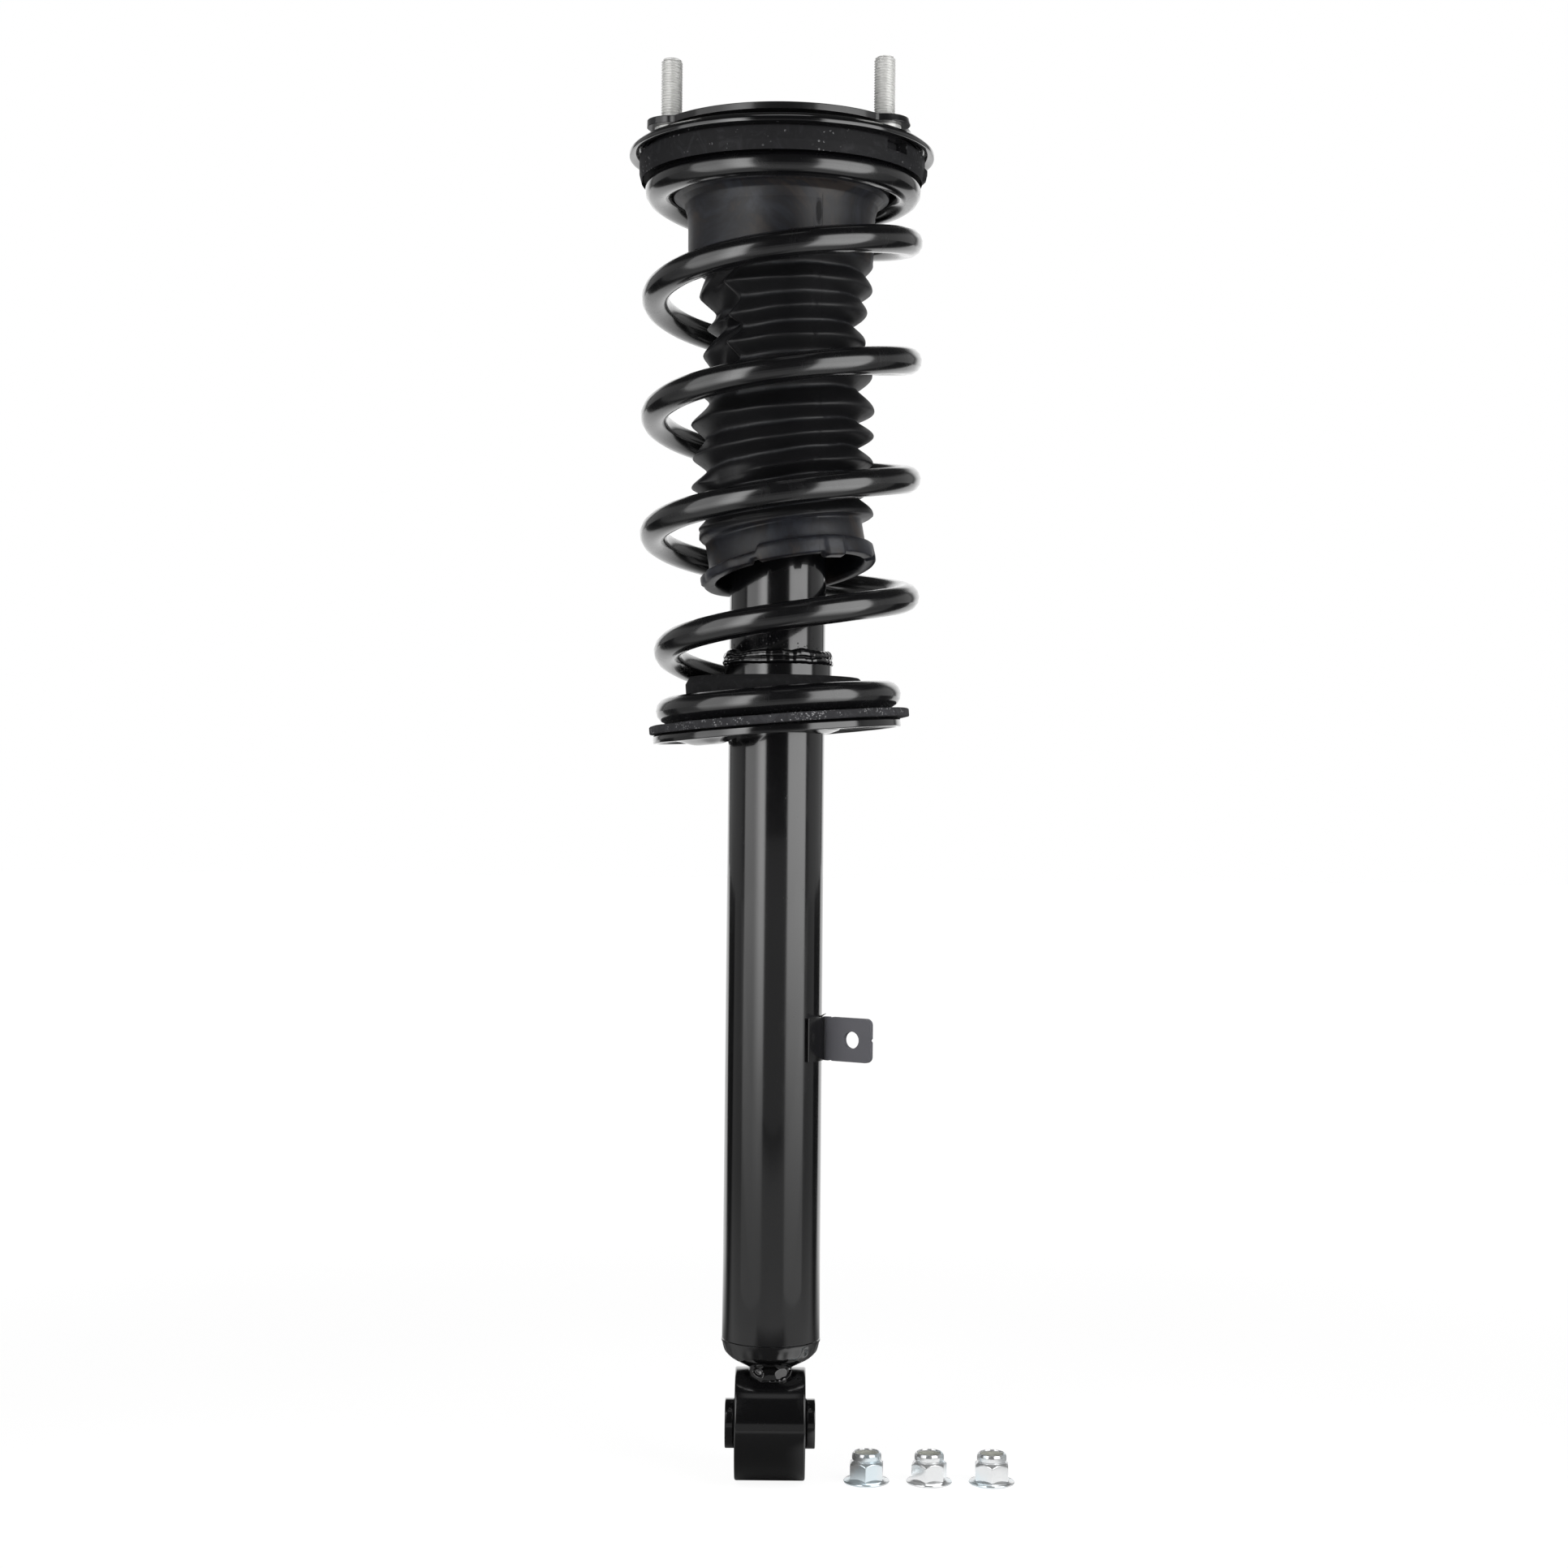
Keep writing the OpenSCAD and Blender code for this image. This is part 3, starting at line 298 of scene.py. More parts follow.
def rubber(name, base, rough=0.72, wear=0.5, specks=0.5, grain=0.35, dusty=0.0, hub=0.0):
    """Moulded rubber: grain, rubbed patches, short scuffs and pale specks of dust.

    Inside the hub's radius, in metres, it is clean, and darker with painted shade from the coil
    above.
    """
    paint = Paint(name, Specular_IOR_Level=0.26)
    where = paint.where()
    cloud = paint.noise(where, 45, 5, 0.65)
    patch = paint.noise(where, 90, 4, 0.7, 2.0).above(0.58, 0.10)
    scuff = paint.noise(paint.where((1, 1, 5)), 210, 3, 0.7, 1.2).above(0.63, 0.05)
    dot = 1 - paint.cells(where, 430).above(0.22, 0.06)
    spread = paint.noise(where, 60, 2, 0.6).above(0.52, 0.08)
    fleck = dot * spread * paint.noise(where, 900, 1).above(0.52, 0.06)
    crumb = 1 - paint.cells(where, 950).above(0.34, 0.08)
    drift = paint.noise(paint.where((1, 1, 2)), 48, 3, 0.7).above(0.53, 0.05)
    fleck = fleck.most(crumb * drift * dusty)
    worn = patch * 0.55 + patch * scuff * 0.45
    fine = paint.noise(where, 1500, 3, 0.6)
    first = paint.mix(cloud, shade(base, 0.7), shade(base, 1.35))
    if hub:
        split = paint.node("ShaderNodeSeparateXYZ", values=[where])
        x, y = split, split.part("Y")
        outside = ((x * x + y * y) ** 0.5).above(hub, 0.001)
        # Painted shade from the coil above: the hub's colour is darkened, and it also has no
        # flecks and less wear
        first = paint.mix(outside, shade(base, 0.25), first)
        fleck = fleck * outside
        worn = worn * (0.25 + 0.75 * outside)
    rubbed = paint.mix(worn * wear, first, shade(base, 3.4))
    paint.into("Base Color", paint.mix(fleck * specks, rubbed, (0.40, 0.40, 0.41)))
    paint.into("Roughness", rough - 0.16 * worn + 0.10 * cloud)
    paint.bump(fine * 0.6 + scuff * 0.5 + fleck, grain)
    return paint.material


def bracket_paint(name, base):
    """Paint that lies thick and glossy on the bracket's foot and dries rougher on its ear; the
    ear's colour is painted grey as painted light from the lamps it faces.
    """
    paint = Paint(name, Coat_Roughness=0.08, IOR=1.5, Specular_IOR_Level=0.4)
    where = paint.where()
    ear = paint.node("ShaderNodeSeparateXYZ", values=[where]).above(0.0242, 0.0002)
    cloud = paint.noise(where, 70, 4, 0.6)
    grain = paint.noise(where, 700, 2, 0.5)
    # Painted light: the ear is painted far lighter than the foot, as if lit where it faces the
    # lamps
    painted_ear_light = paint.mix(cloud, shade(base, 15.5), shade(base, 18.0))
    paint.into("Base Color", paint.mix(ear, shade(base, 0.4), painted_ear_light))
    paint.into("Roughness", 0.24 + 0.30 * ear + 0.05 * cloud)
    paint.into("Coat Weight", 0.5 - 0.45 * ear)
    paint.bump(grain * 0.6 + cloud * 0.4, 0.12)
    return paint.material


def boot_rubber(name, base):
    """Satin rubber: mould release, painted sheen on the collars, painted crease highlights, a
    parting line and a tear.
    """
    paint = Paint(name, Specular_IOR_Level=0.40)
    where = paint.where()
    split = paint.node("ShaderNodeSeparateXYZ", values=[where])
    x, y, z = split, split.part("Y"), split.part("Z")
    front = 1 - y.above(-0.010, 0.002)
    on_collar = z.above(-0.0600, 0.0006)
    ragged = paint.noise(where, 420, 3, 0.7) * 0.9
    off = (x - 0.0191).math("ABSOLUTE").above(0.00022, 0.00014)
    seam = (1 - off) * front * (0.25 + 0.75 * on_collar) * (1 - z.above(-0.0370, 0.001))
    wide, tall = (x - 0.0175) / 0.0017, (z + 0.0445) / 0.0066
    reach = wide * wide + tall * tall + ragged
    torn = (1 - reach.above(1.35, 0.10)) * front
    lip = torn * reach.above(0.95, 0.15)
    crease = paint.node("ShaderNodeAttribute", {"attribute_name": "crease"}, out=2)
    collar = paint.node("ShaderNodeAttribute", {"attribute_name": "collar"}, out=2)
    cloud = paint.noise(where, 38, 5, 0.65)
    film = paint.noise(paint.where((1, 1, 0.6)), 22, 4, 0.7, 1.4)
    streak = paint.noise(paint.where((1, 1, 0.12)), 150, 3, 0.7).above(0.58, 0.08)
    fine = paint.noise(where, 1700, 3, 0.6)
    first = paint.mix(cloud, shade(base, 0.75), shade(base, 1.3))
    # Painted sheen: the collars are painted lighter, with cool and warm patches on them
    smooth = paint.mix(collar, first, shade(base, 2.4))
    cool_sheen = paint.mix(film.above(0.54, 0.10) * 0.8 * collar, smooth, (0.030, 0.033, 0.043))
    warm_sheen = paint.mix((1 - film).above(0.58, 0.06) * 0.5 * collar, cool_sheen,
                     (0.046, 0.034, 0.027))
    # Painted highlight along each crease
    painted_crease_highlight = paint.mix(crease * (0.35 + 0.45 * streak), warm_sheen, (0.040, 0.042, 0.047))
    cut = paint.mix(seam.most(torn * 0.8), painted_crease_highlight, shade(base, 0.2))
    paint.into("Base Color", paint.mix(lip * 0.7, cut, (0.045, 0.045, 0.050)))
    paint.into("Roughness", 0.44 - 0.06 * collar + 0.14 * cloud - 0.07 * film
               + 0.05 * streak + 0.25 * torn)
    paint.bump(fine * 0.5 + streak * 0.25 + cloud * 0.6 - seam * 2.5 - torn * 3 + lip * 2, 0.22)
    return paint.material


def zinc(name, base, rough=0.42, blotch=0.5, blue=0.0, grain=0.25, metal=0.9):
    """Electroplated zinc: crystal bloom, small stains and tool marks."""
    paint = Paint(name)
    where = paint.where()
    bloom = paint.noise(where, 380, 4, 0.7)
    stain = paint.noise(where, 120, 3, 0.6, 1.0).above(0.58, 0.10)
    film = paint.noise(where, 55, 2, 0.5)
    first = paint.mix(bloom, shade(base, 0.90), shade(base, 1.05))
    dull = paint.mix(stain * blotch, first, shade(base, 0.62))
    tint = (base[0] * 0.86, base[1] * 0.97, min(1.0, base[2] * 1.04))
    paint.into("Base Color", paint.mix(film.above(0.52, 0.10) * blue, dull, tint))
    paint.into("Metallic", metal - 0.25 * metal * stain * blotch)
    paint.into("Roughness", rough + 0.10 * bloom + 0.12 * stain * blotch)
    paint.bump(bloom, grain, 0.0001)
    return paint.material


def machined(name, base, rough=0.28, lines=8, grain=0.3):
    """Turned or ground metal with fine lines round the axis."""
    paint = Paint(name, Metallic=1.0)
    where = paint.where()
    ring = paint.noise(paint.where((0.2, 0.2, lines)), 420, 3, 0.6)
    cloud = paint.noise(where, 60, 3, 0.6)
    paint.into("Base Color", paint.mix(cloud, shade(base, 0.78), shade(base, 1.12)))
    paint.into("Roughness", rough + 0.12 * ring + 0.10 * cloud)
    paint.bump(ring * 0.6 + cloud * 0.2, grain, 0.0001)
    return paint.material


def moulded(name, base, rough=0.5, grain=0.3):
    """Plastic or foam with a cellular skin."""
    paint = Paint(name, Specular_IOR_Level=0.45)
    where = paint.where()
    cloud = paint.noise(where, 90, 4, 0.6)
    pore = paint.cells(where, 800)
    paint.into("Base Color", paint.mix(cloud, shade(base, 0.82), shade(base, 1.12)))
    paint.into("Roughness", rough + 0.15 * cloud)
    paint.bump(pore * 0.5 + cloud * 0.4, grain)
    return paint.material


CHROME = (0.72, 0.73, 0.75)
TONES = ("enamel", "plate", "isolator", "pad", "boot", "stud", "nut", "nylon", "steel",
         "bronze", "foam")


def finishes():
    """Every finish by its name, each made once."""
    made = {material.name: material for material in bpy.data.materials}
    tones = {name: tuple(getattr(colours(), name)) for name in TONES}
    recipes = {
        "gloss_enamel": lambda n: enamel(n, tones["enamel"]),
        "spring_enamel": lambda n: enamel(n, tones["enamel"], rough=0.20, peel=0.04,
                                          dust=0.3, coat_rough=0.09),
        "plate_paint": lambda n: enamel(n, tones["plate"], rough=0.26, coat=0.6,
                                        peel=0.15, dust=1.2),
        "bracket_paint": lambda n: bracket_paint(n, tones["plate"]),
        "mount_rubber": lambda n: rubber(n, tones["isolator"], rough=0.66, wear=0.45,
                                         specks=0.45),
        "lower_pad_rubber": lambda n: rubber(n, tones["pad"], rough=0.80, wear=0.45,
                                             specks=0.9, grain=0.5, dusty=0.8,
                                             hub=0.0455),
        "dust_boot_rubber": lambda n: boot_rubber(n, tones["boot"]),
        "stud_zinc": lambda n: zinc(n, tones["stud"], rough=0.34, blotch=0.05,
                                    grain=0.01, metal=0.35),
        "nut_zinc": lambda n: zinc(n, tones["nut"], rough=0.08, blotch=0.10, blue=0.8,
                                   grain=0.02, metal=0.62),
        "steel": lambda n: machined(n, tones["steel"]),
        "chrome": lambda n: machined(n, CHROME, rough=0.08, lines=14, grain=0.08),
        "bronze": lambda n: machined(n, tones["bronze"], rough=0.42, lines=3, grain=0.4),
        "foam": lambda n: moulded(n, tones["foam"], rough=0.7, grain=0.5),
        "insert_nylon": lambda n: moulded(n, tones["nylon"], rough=0.42, grain=0.15),
    }
    for name, recipe in recipes.items():
        if name not in made:
            made[name] = recipe(name)
    return made


# The finish of each material slot in the CAD's record
SLOT_FINISH = {
    "black_plate": "plate_paint", "black_gloss": "gloss_enamel",
    "black_spring": "spring_enamel", "zinc_stud": "stud_zinc", "zinc_nut": "nut_zinc",
    "bare_steel": "steel", "chromed_rod": "chrome", "sintered_bronze": "bronze",
    "isolator_rubber": "mount_rubber", "pad_rubber": "lower_pad_rubber",
    "boot_rubber": "dust_boot_rubber", "bump_foam": "foam", "nylon": "insert_nylon",
}


# ---------------------------------------------------------------- modelling kit

def start():
    """Object mode with nothing selected."""
    if bpy.context.object and bpy.context.object.mode != "OBJECT":
        bpy.ops.object.mode_set(mode="OBJECT")
    bpy.ops.object.select_all(action="DESELECT")


def pick(obj):
    """Makes one object the only one selected, and active."""
    start()
    obj.select_set(True)
    bpy.context.view_layer.objects.active = obj


def added(name):
    """The active object, with its name and its mesh's name set."""
    obj = bpy.context.object
    obj.name = name
    obj.data.name = name
    return obj


def weld(obj, gap=1e-6):
    """Merges doubles, closes poles and turns the faces outwards."""
    pick(obj)
    bpy.ops.object.mode_set(mode="EDIT")
    bpy.ops.mesh.select_all(action="SELECT")
    bpy.ops.mesh.remove_doubles(threshold=gap)
    bpy.ops.mesh.dissolve_degenerate(threshold=gap / 10)
    bpy.ops.mesh.delete_loose(use_verts=True, use_edges=True, use_faces=False)
    bpy.ops.mesh.select_all(action="SELECT")
    bpy.ops.mesh.normals_make_consistent(inside=False)
    bpy.ops.object.mode_set(mode="OBJECT")
    return obj


def rounded(points, radius=0.4, steps=3):
    """A closed outline whose corners are arcs. A point's third value is its own radius."""
    out = []
    count = len(points)
    for i, point in enumerate(points):
        here = Vector(point[:2])
        back = Vector(points[i - 1][:2]) - here
        ahead = Vector(points[(i + 1) % count][:2]) - here
        want = point[2] if len(point) > 2 else radius
        if want == 0 or min(back.length, ahead.length) < 1e-6:
            out.append(tuple(here))
            continue
        half = back.angle(ahead) / 2
        if half > math.radians(87):
            out.append(tuple(here))
            continue
        cut = min(want / math.tan(half), back.length * 0.48, ahead.length * 0.48)
        r = cut * math.tan(half)
        back.normalize()
        ahead.normalize()
        middle = here + (back + ahead).normalized() * (r / math.sin(half))
        first = here + back * cut - middle
        last = here + ahead * cut - middle
        for k in range(steps + 1):
            arm = first.lerp(last, k / steps).normalized() * r
            out.append(tuple(middle + arm))
    return out


def packed(outline, gap, beyond=0.0):
    """The closed outline with more points, about a gap apart, outside a radius."""
    dense = []
    for a, b in zip(outline, outline[1:] + outline[:1]):
        outside = max(a[0], b[0]) > beyond
        parts = max(1, int(math.dist(a, b) / gap)) if outside else 1
        dense += [(a[0] + (b[0] - a[0]) * k / parts, a[1] + (b[1] - a[1]) * k / parts)
                  for k in range(parts)]
    return dense


def drawn(name, places, fill="NOTHING"):
    """A closed outline through places in millimetres."""
    start()
    bpy.ops.mesh.primitive_circle_add(vertices=len(places), radius=0.01, fill_type=fill,
                                      location=(0, 0, 0))
    obj = added(name)
    for vertex, place in zip(obj.data.vertices, places):
        vertex.co = [value * MM for value in place]
    return obj


def raised(obj, move, fill=False):
    """A solid from a flat outline, which is filled first if asked."""
    pick(obj)
    bpy.ops.object.mode_set(mode="EDIT")
    bpy.ops.mesh.select_all(action="SELECT")
    if fill:
        bpy.ops.mesh.fill(use_beauty=True)
        bpy.ops.mesh.select_all(action="SELECT")
    bpy.ops.mesh.extrude_region_move(TRANSFORM_OT_translate={"value": move})
    bpy.ops.mesh.select_all(action="SELECT")
    bpy.ops.mesh.normals_make_consistent(inside=False)
    bpy.ops.object.mode_set(mode="OBJECT")
    return obj


def turned(name, outline, steps=128):
    """Spins a closed outline of (radius, height) points about the Z axis."""
    obj = drawn(name, [(max(radius, 0), 0, height) for radius, height in outline])
    bpy.ops.object.mode_set(mode="EDIT")
    bpy.ops.mesh.select_all(action="SELECT")
    bpy.ops.mesh.spin(steps=steps, angle=FULL, center=(0, 0, 0), axis=(0, 0, 1))
    bpy.ops.object.mode_set(mode="OBJECT")
    return weld(obj)


def reshape(obj, place):
    """Moves each vertex to place(x, y, z), all in millimetres."""
    for vertex in obj.data.vertices:
        x, y, z = vertex.co / MM
        vertex.co = Vector(place(x, y, z)) * MM
    obj.data.update()
    return obj


def along_x(obj, z):
    """Lays a piece turned about Z along X, at a height in millimetres."""
    obj.data.transform(Matrix.Rotation(math.radians(90), 4, "Y"))
    obj.data.transform(Matrix.Translation((0, 0, z * MM)))
    return obj


def join(name, *parts):
    """One object from several meshes."""
    start()
    for part in parts:
        part.select_set(True)
    bpy.context.view_layer.objects.active = parts[0]
    if len(parts) > 1:
        bpy.ops.object.join()
    return added(name)


def softened(obj, angle=32):
    """Smooth shading but for edges sharper than the angle."""
    pick(obj)
    bpy.ops.object.shade_smooth_by_angle(angle=math.radians(angle))
    return obj


def bevelled(obj, width, segments=2, angle=40):
    """Rounds the edges that are sharper than the angle."""
    pick(obj)
    modifier = obj.modifiers.new("Edge round", "BEVEL")
    modifier.width = width * MM
    modifier.segments = segments
    modifier.limit_method = "ANGLE"
    modifier.angle_limit = math.radians(angle)
    bpy.ops.object.modifier_apply(modifier=modifier.name)
    return obj


def finished(obj, finish, slot, body, *nodes, angle=32):
    """Smooths, paints and hangs a piece on its body."""
    softened(obj, angle)
    obj.data.materials.clear()
    obj.data.materials.append(finishes()[finish])
    if nodes:
        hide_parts(*nodes)
    if body:
        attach(obj, body)
    return obj


def step(low, high, value):
    """Smooth step from 0 at low to 1 at high."""
    share = min(1.0, max(0.0, (value - low) / (high - low)))
    return share * share * (3 - 2 * share)


def hump(middle, half, value):
    """1 at the middle, falling smoothly to 0 at the half width."""
    return 1 - step(0, half, abs(value - middle))


def turn_from(angle, middle):
    """Signed difference of two directions in degrees."""
    return (angle - middle + 180) % 360 - 180


def clipped(radius, limit, soft):
    """The radius or the limit, whichever is less, with a soft change between them."""
    over = radius - limit
    return radius - (over + math.sqrt(over ** 2 + soft ** 2)) / 2


def side_of(angle, middle, radius):
    """Signed distance along a circle from a middle direction."""
    return radius * math.radians(turn_from(angle, middle))


def heading(x, y):
    """Direction of a place seen from the axis, from 0 to 360 degrees."""
    return math.degrees(math.atan2(y, x)) % 360


def rumple(x, y, z, scale, seed=0.0):
    """Smooth noise from -1 to 1 at a scale in millimetres."""
    return noise.noise(Vector((x / scale + seed, y / scale - seed, z / scale)))


def arc(centre, radius, first, last, steps):
    """Points of an arc about a centre, from one direction to another in degrees."""
    return [(centre[0] + radius * math.cos(math.radians(first + (last - first) * i / steps)),
             centre[1] + radius * math.sin(math.radians(first + (last - first) * i / steps)))
            for i in range(steps + 1)]


def tube_along(name, points, radius, sides=16, closed=False):
    """A round bead along points in millimetres; radius may differ from point to point."""
    data = bpy.data.curves.new(name, "CURVE")
    data.dimensions = "3D"
    line = data.splines.new("POLY")
    line.points.add(len(points) - 1)
    for i, (target, place) in enumerate(zip(line.points, points)):
        target.co = (*(Vector(place) * MM), 1)
        target.radius = radius(i) if callable(radius) else radius
    line.use_cyclic_u = closed
    data.bevel_depth = MM
    data.bevel_resolution = max(0, sides // 4 - 1)
    data.use_fill_caps = not closed
    start()
    obj = bpy.data.objects.new(name, data)
    bpy.context.collection.objects.link(obj)
    pick(obj)
    bpy.ops.object.convert(target="MESH")
    return weld(added(name))


# ---------------------------------------------------------------- top mount

STUD_AT = [206, 326, 86]
STUD_R = 5.0
STUD_TOP = 29.0
STUD_CIRCLE_R = 57.5
STUD_ROWS_PER_MM = 10
THREAD_START = 2.6
THREAD_DEPTH = 0.62
PLATE_R = 62.0
PLATE_T = 3.2
LOBE_R = 11.5
LOBE_BLEND = 0.6


def plate_edge(angle):
    """Radius of the mount plate's edge in a direction, with its lobes blended in."""
    reach = PLATE_R
    for at in STUD_AT:
        away = math.radians(turn_from(angle, at))
        off = STUD_CIRCLE_R * math.sin(away)
        if abs(off) < LOBE_R and abs(away) < 1:
            lobe = STUD_CIRCLE_R * math.cos(away) + math.sqrt(LOBE_R ** 2 - off ** 2)
            over = lobe - reach
            reach += (over + math.sqrt(over * over + LOBE_BLEND * LOBE_BLEND)) / 2
    return reach


def build_mount_plate():
    """A pressed plate with a cup in its middle, a lobe at each stud and a flared edge."""
    foot = span("mount_plate")[0].z
    under = -PLATE_T
    outline = rounded([
        (14, foot, 0.5), (14, foot + PLATE_T, 0.8), (25.3, foot + PLATE_T, 3.5),
        (25.8, -2.5, 2.5), (29.2, 0, 2.5), (44, 0, 0), (58, 0, 0), (61.4, 0, 0),
        (PLATE_R, 0, 0.3), (PLATE_R, -0.45, 0), (PLATE_R, -2.8, 0), (PLATE_R, under, 0.25),
        (61.4, under, 0), (58, under, 0), (44, under, 0), (28.5, under, 2.2),
        (28.5, foot, 2.8)], steps=4)
    plate = turned("mount_plate_pressing", outline, 360)

    def place(x, y, z):
        r = math.hypot(x, y)
        angle = heading(x, y)
        grown = plate_edge(angle) - PLATE_R
        flare = hump(0, 14, turn_from(angle, STUD_AT[1])) * step(-0.3, -PLATE_T, z)
        if z > -0.6 and r > 36:
            z -= 0.25 * hump(46, 10, r)
        share = step(40, 57, r)
        new_r = r + (grown + flare) * share
        new_r += 0.08 * rumple(x, y, 0, 14) * share
        return x / r * new_r, y / r * new_r, z
    reshape(plate, place)
    weld(plate)
    finished(plate, "plate_paint", "black_plate", "top_mount", "mount_plate")


def build_studs():
    """Three pressed-in studs with a cut thread, worn a little, each turned its own way."""
    pitch = sizes().thread_pitch / MM
    rng = random.Random(11)
    studs = []
    rows = int(STUD_TOP * STUD_ROWS_PER_MM)
    for at in STUD_AT:
        side = [(STUD_R, STUD_TOP * i / rows) for i in range(rows + 1)]
        outline = ([(0, -5.2), (7.3, -5.2), (7.8, -4.7), (7.8, -3.3), (6.3, -3.2), (6.3, 0.0)]
                   + side[1:-1] + [(STUD_R, STUD_TOP), (0, STUD_TOP)])
        stud = turned("stud", outline, 40)
        lead = rng.random() * 360
        nick = rng.random() * 360

        def place(x, y, z, lead=lead, nick=nick):
            r = math.hypot(x, y)
            if r < 1e-6 or z < 0.02:
                return x, y, z
            angle = heading(x, y)
            cut = 0.5 - 0.5 * math.cos(FULL * ((z / pitch) + (angle + lead) / 360))
            depth = THREAD_DEPTH * cut ** 0.7 * step(THREAD_START - 1, THREAD_START + 1, z)
            nose = step(STUD_TOP - 1.5, STUD_TOP, z)
            worn = 0.01 * rumple(x, y, z, 4.0, lead) + 0.12 * nose * rumple(x, y, z, 2.2, nick)
            new_r = STUD_R - depth - 0.9 * nose + worn
            if z > STUD_TOP - 0.02:
                z -= 0.15 + 0.15 * rumple(x, y, 0, 3.1, nick)
                new_r = min(new_r, STUD_R - 0.9)
            return x / r * new_r, y / r * new_r, min(z, STUD_TOP)
        reshape(stud, place)
        stud.data.transform(Matrix.Translation((
            STUD_CIRCLE_R * math.cos(math.radians(at)) * MM,
            STUD_CIRCLE_R * math.sin(math.radians(at)) * MM, 0)))
        studs.append(stud)
    finished(join("mount_studs", *studs), "stud_zinc", "zinc_stud", "top_mount",
             "upper_studs", angle=80)


def hex_nut(name, flats, height, bore, bevel=1.1):
    """A plain hexagon nut about Z, standing on zero, with its corners turned off."""
    corner = flats / math.cos(math.radians(30)) / 2
    outline = rounded([(bore, 0, 0.4), (bore, height, 0.4), (flats / 2 - 0.4, height, 0.2),
                       (corner, height - bevel, 0.1), (corner, bevel * 0.4, 0.1),
                       (flats / 2, 0, 0.1)], steps=2)
    nut = turned(name, packed(outline, 1.2), 96)

    def place(x, y, z):
        r = math.hypot(x, y)
        away = math.radians((heading(x, y) % 60) - 30)
        flat = flats / 2 / math.cos(away)
        new_r = r if r < bore + 1 else clipped(r, flat, 0.18)
        return x / r * new_r, y / r * new_r, z
    return reshape(nut, place)


def build_rod_nut():
    """The hexagon nut on the rod's threaded end."""
    low, high = span("rod_nut")
    nut = hex_nut("rod_nut_dressed", 17, high.z - low.z, 5.0)
    nut.data.transform(Matrix.Translation((0, 0, low.z * MM)))
    finished(nut, "nut_zinc", "zinc_nut", "top_mount", "rod_nut")


def build_rod_washer():
    """A washer whose upper face slopes down towards its edge."""
    r, foot, top = round_size("rod_washer")
    washer = turned("rod_washer_dressed", rounded([
        (5.1, foot, 0.3), (5.1, top, 0.5), (r - 6, top, 2.5), (r, top - 0.7, 0.5),
        (r, foot, 0.6), (r - 7, foot, 2.5)], steps=4), 96)
    finished(washer, "plate_paint", "black_plate", "top_mount", "rod_washer")


def build_mount_rubber():
    """The rubber between the rod's sleeve and the mount plate's cup."""
    _, foot, top = round_size("mount_rubber")
    rubber_ring = turned("mount_rubber_moulding", rounded([
        (9.05, foot, 0.6), (15, foot, 1), (17, foot + 1.2, 1), (24, foot + 0.8, 1.4),
        (28, foot + 2.6, 2.2), (28, -14.6, 2.2), (26, -12.3, 0.8), (14.05, -12.2, 0.4),
        (14.05, -9, 0.4), (23.2, -8.9, 0.8), (24, -7.2, 1.2), (22, top, 1.4),
        (17, top - 0.8, 1.2), (12, top, 1.0), (9.05, top, 0.5)], steps=4), 128)

    def place(x, y, z):
        r = math.hypot(x, y)
        swell = 0.15 * rumple(x, y, z, 7) * step(10, 14, r) * step(28.4, 26, r)
        return x, y, z + swell
    reshape(rubber_ring, place)
    finished(rubber_ring, "mount_rubber", "isolator_rubber", "top_mount", "mount_rubber")


def build_seat_cushion():
    """The thin rubber ring between the mount plate and the upper seat."""
    r, foot, top = round_size("seat_cushion")
    cushion = turned("seat_cushion_moulding", rounded([
        (29.6, foot, 0.6), (29.6, top, 0.6), (48, top - 0.05, 0.5), (r, top, 1.1),
        (r, foot, 1.1)], steps=4), 128)
    finished(cushion, "mount_rubber", "isolator_rubber", "top_mount", "seat_cushion")


def build_upper_seat():
    """A dished seat whose rim is rolled down over the isolator."""
    r, _, top = round_size("upper_seat")
    outline = [(30.5, top - 2.6), (30.5, top - 0.6), (31.1, top), (36, top), (40, top - 0.5),
               (58, top - 0.5), (61, top), (r - 7, top), (r - 5.6, top - 0.12),
               (r - 4.2, top - 0.42), (r - 3.0, top - 0.86), (r - 2.0, top - 1.42),
               (r - 1.2, top - 2.08), (r - 0.7, top - 2.55), (r - 0.3, top - 2.95),
               (r - 0.08, top - 3.30), (r, top - 3.65), (r, top - 4.30), (r - 0.06, top - 4.75),
               (r - 0.2, top - 5.05), (r - 0.5, top - 5.19), (r - 1.2, top - 5.2),
               (r - 2.4, top - 5.1), (r - 3.8, top - 4.6), (r - 5.2, top - 3.7),
               (r - 6.6, top - 2.75), (61, top - 2.6), (58, top - 3.1),
               (40, top - 3.1), (36, top - 2.6)]
    seat = turned("upper_seat_pressing", outline, 200)

    def place(x, y, z):
        edge = step(64, 70, math.hypot(x, y))
        return x, y, z + 0.10 * edge * rumple(x, y, 0, 16, 3)
    reshape(seat, place)
    finished(seat, "gloss_enamel", "black_gloss", "top_mount", "upper_seat")


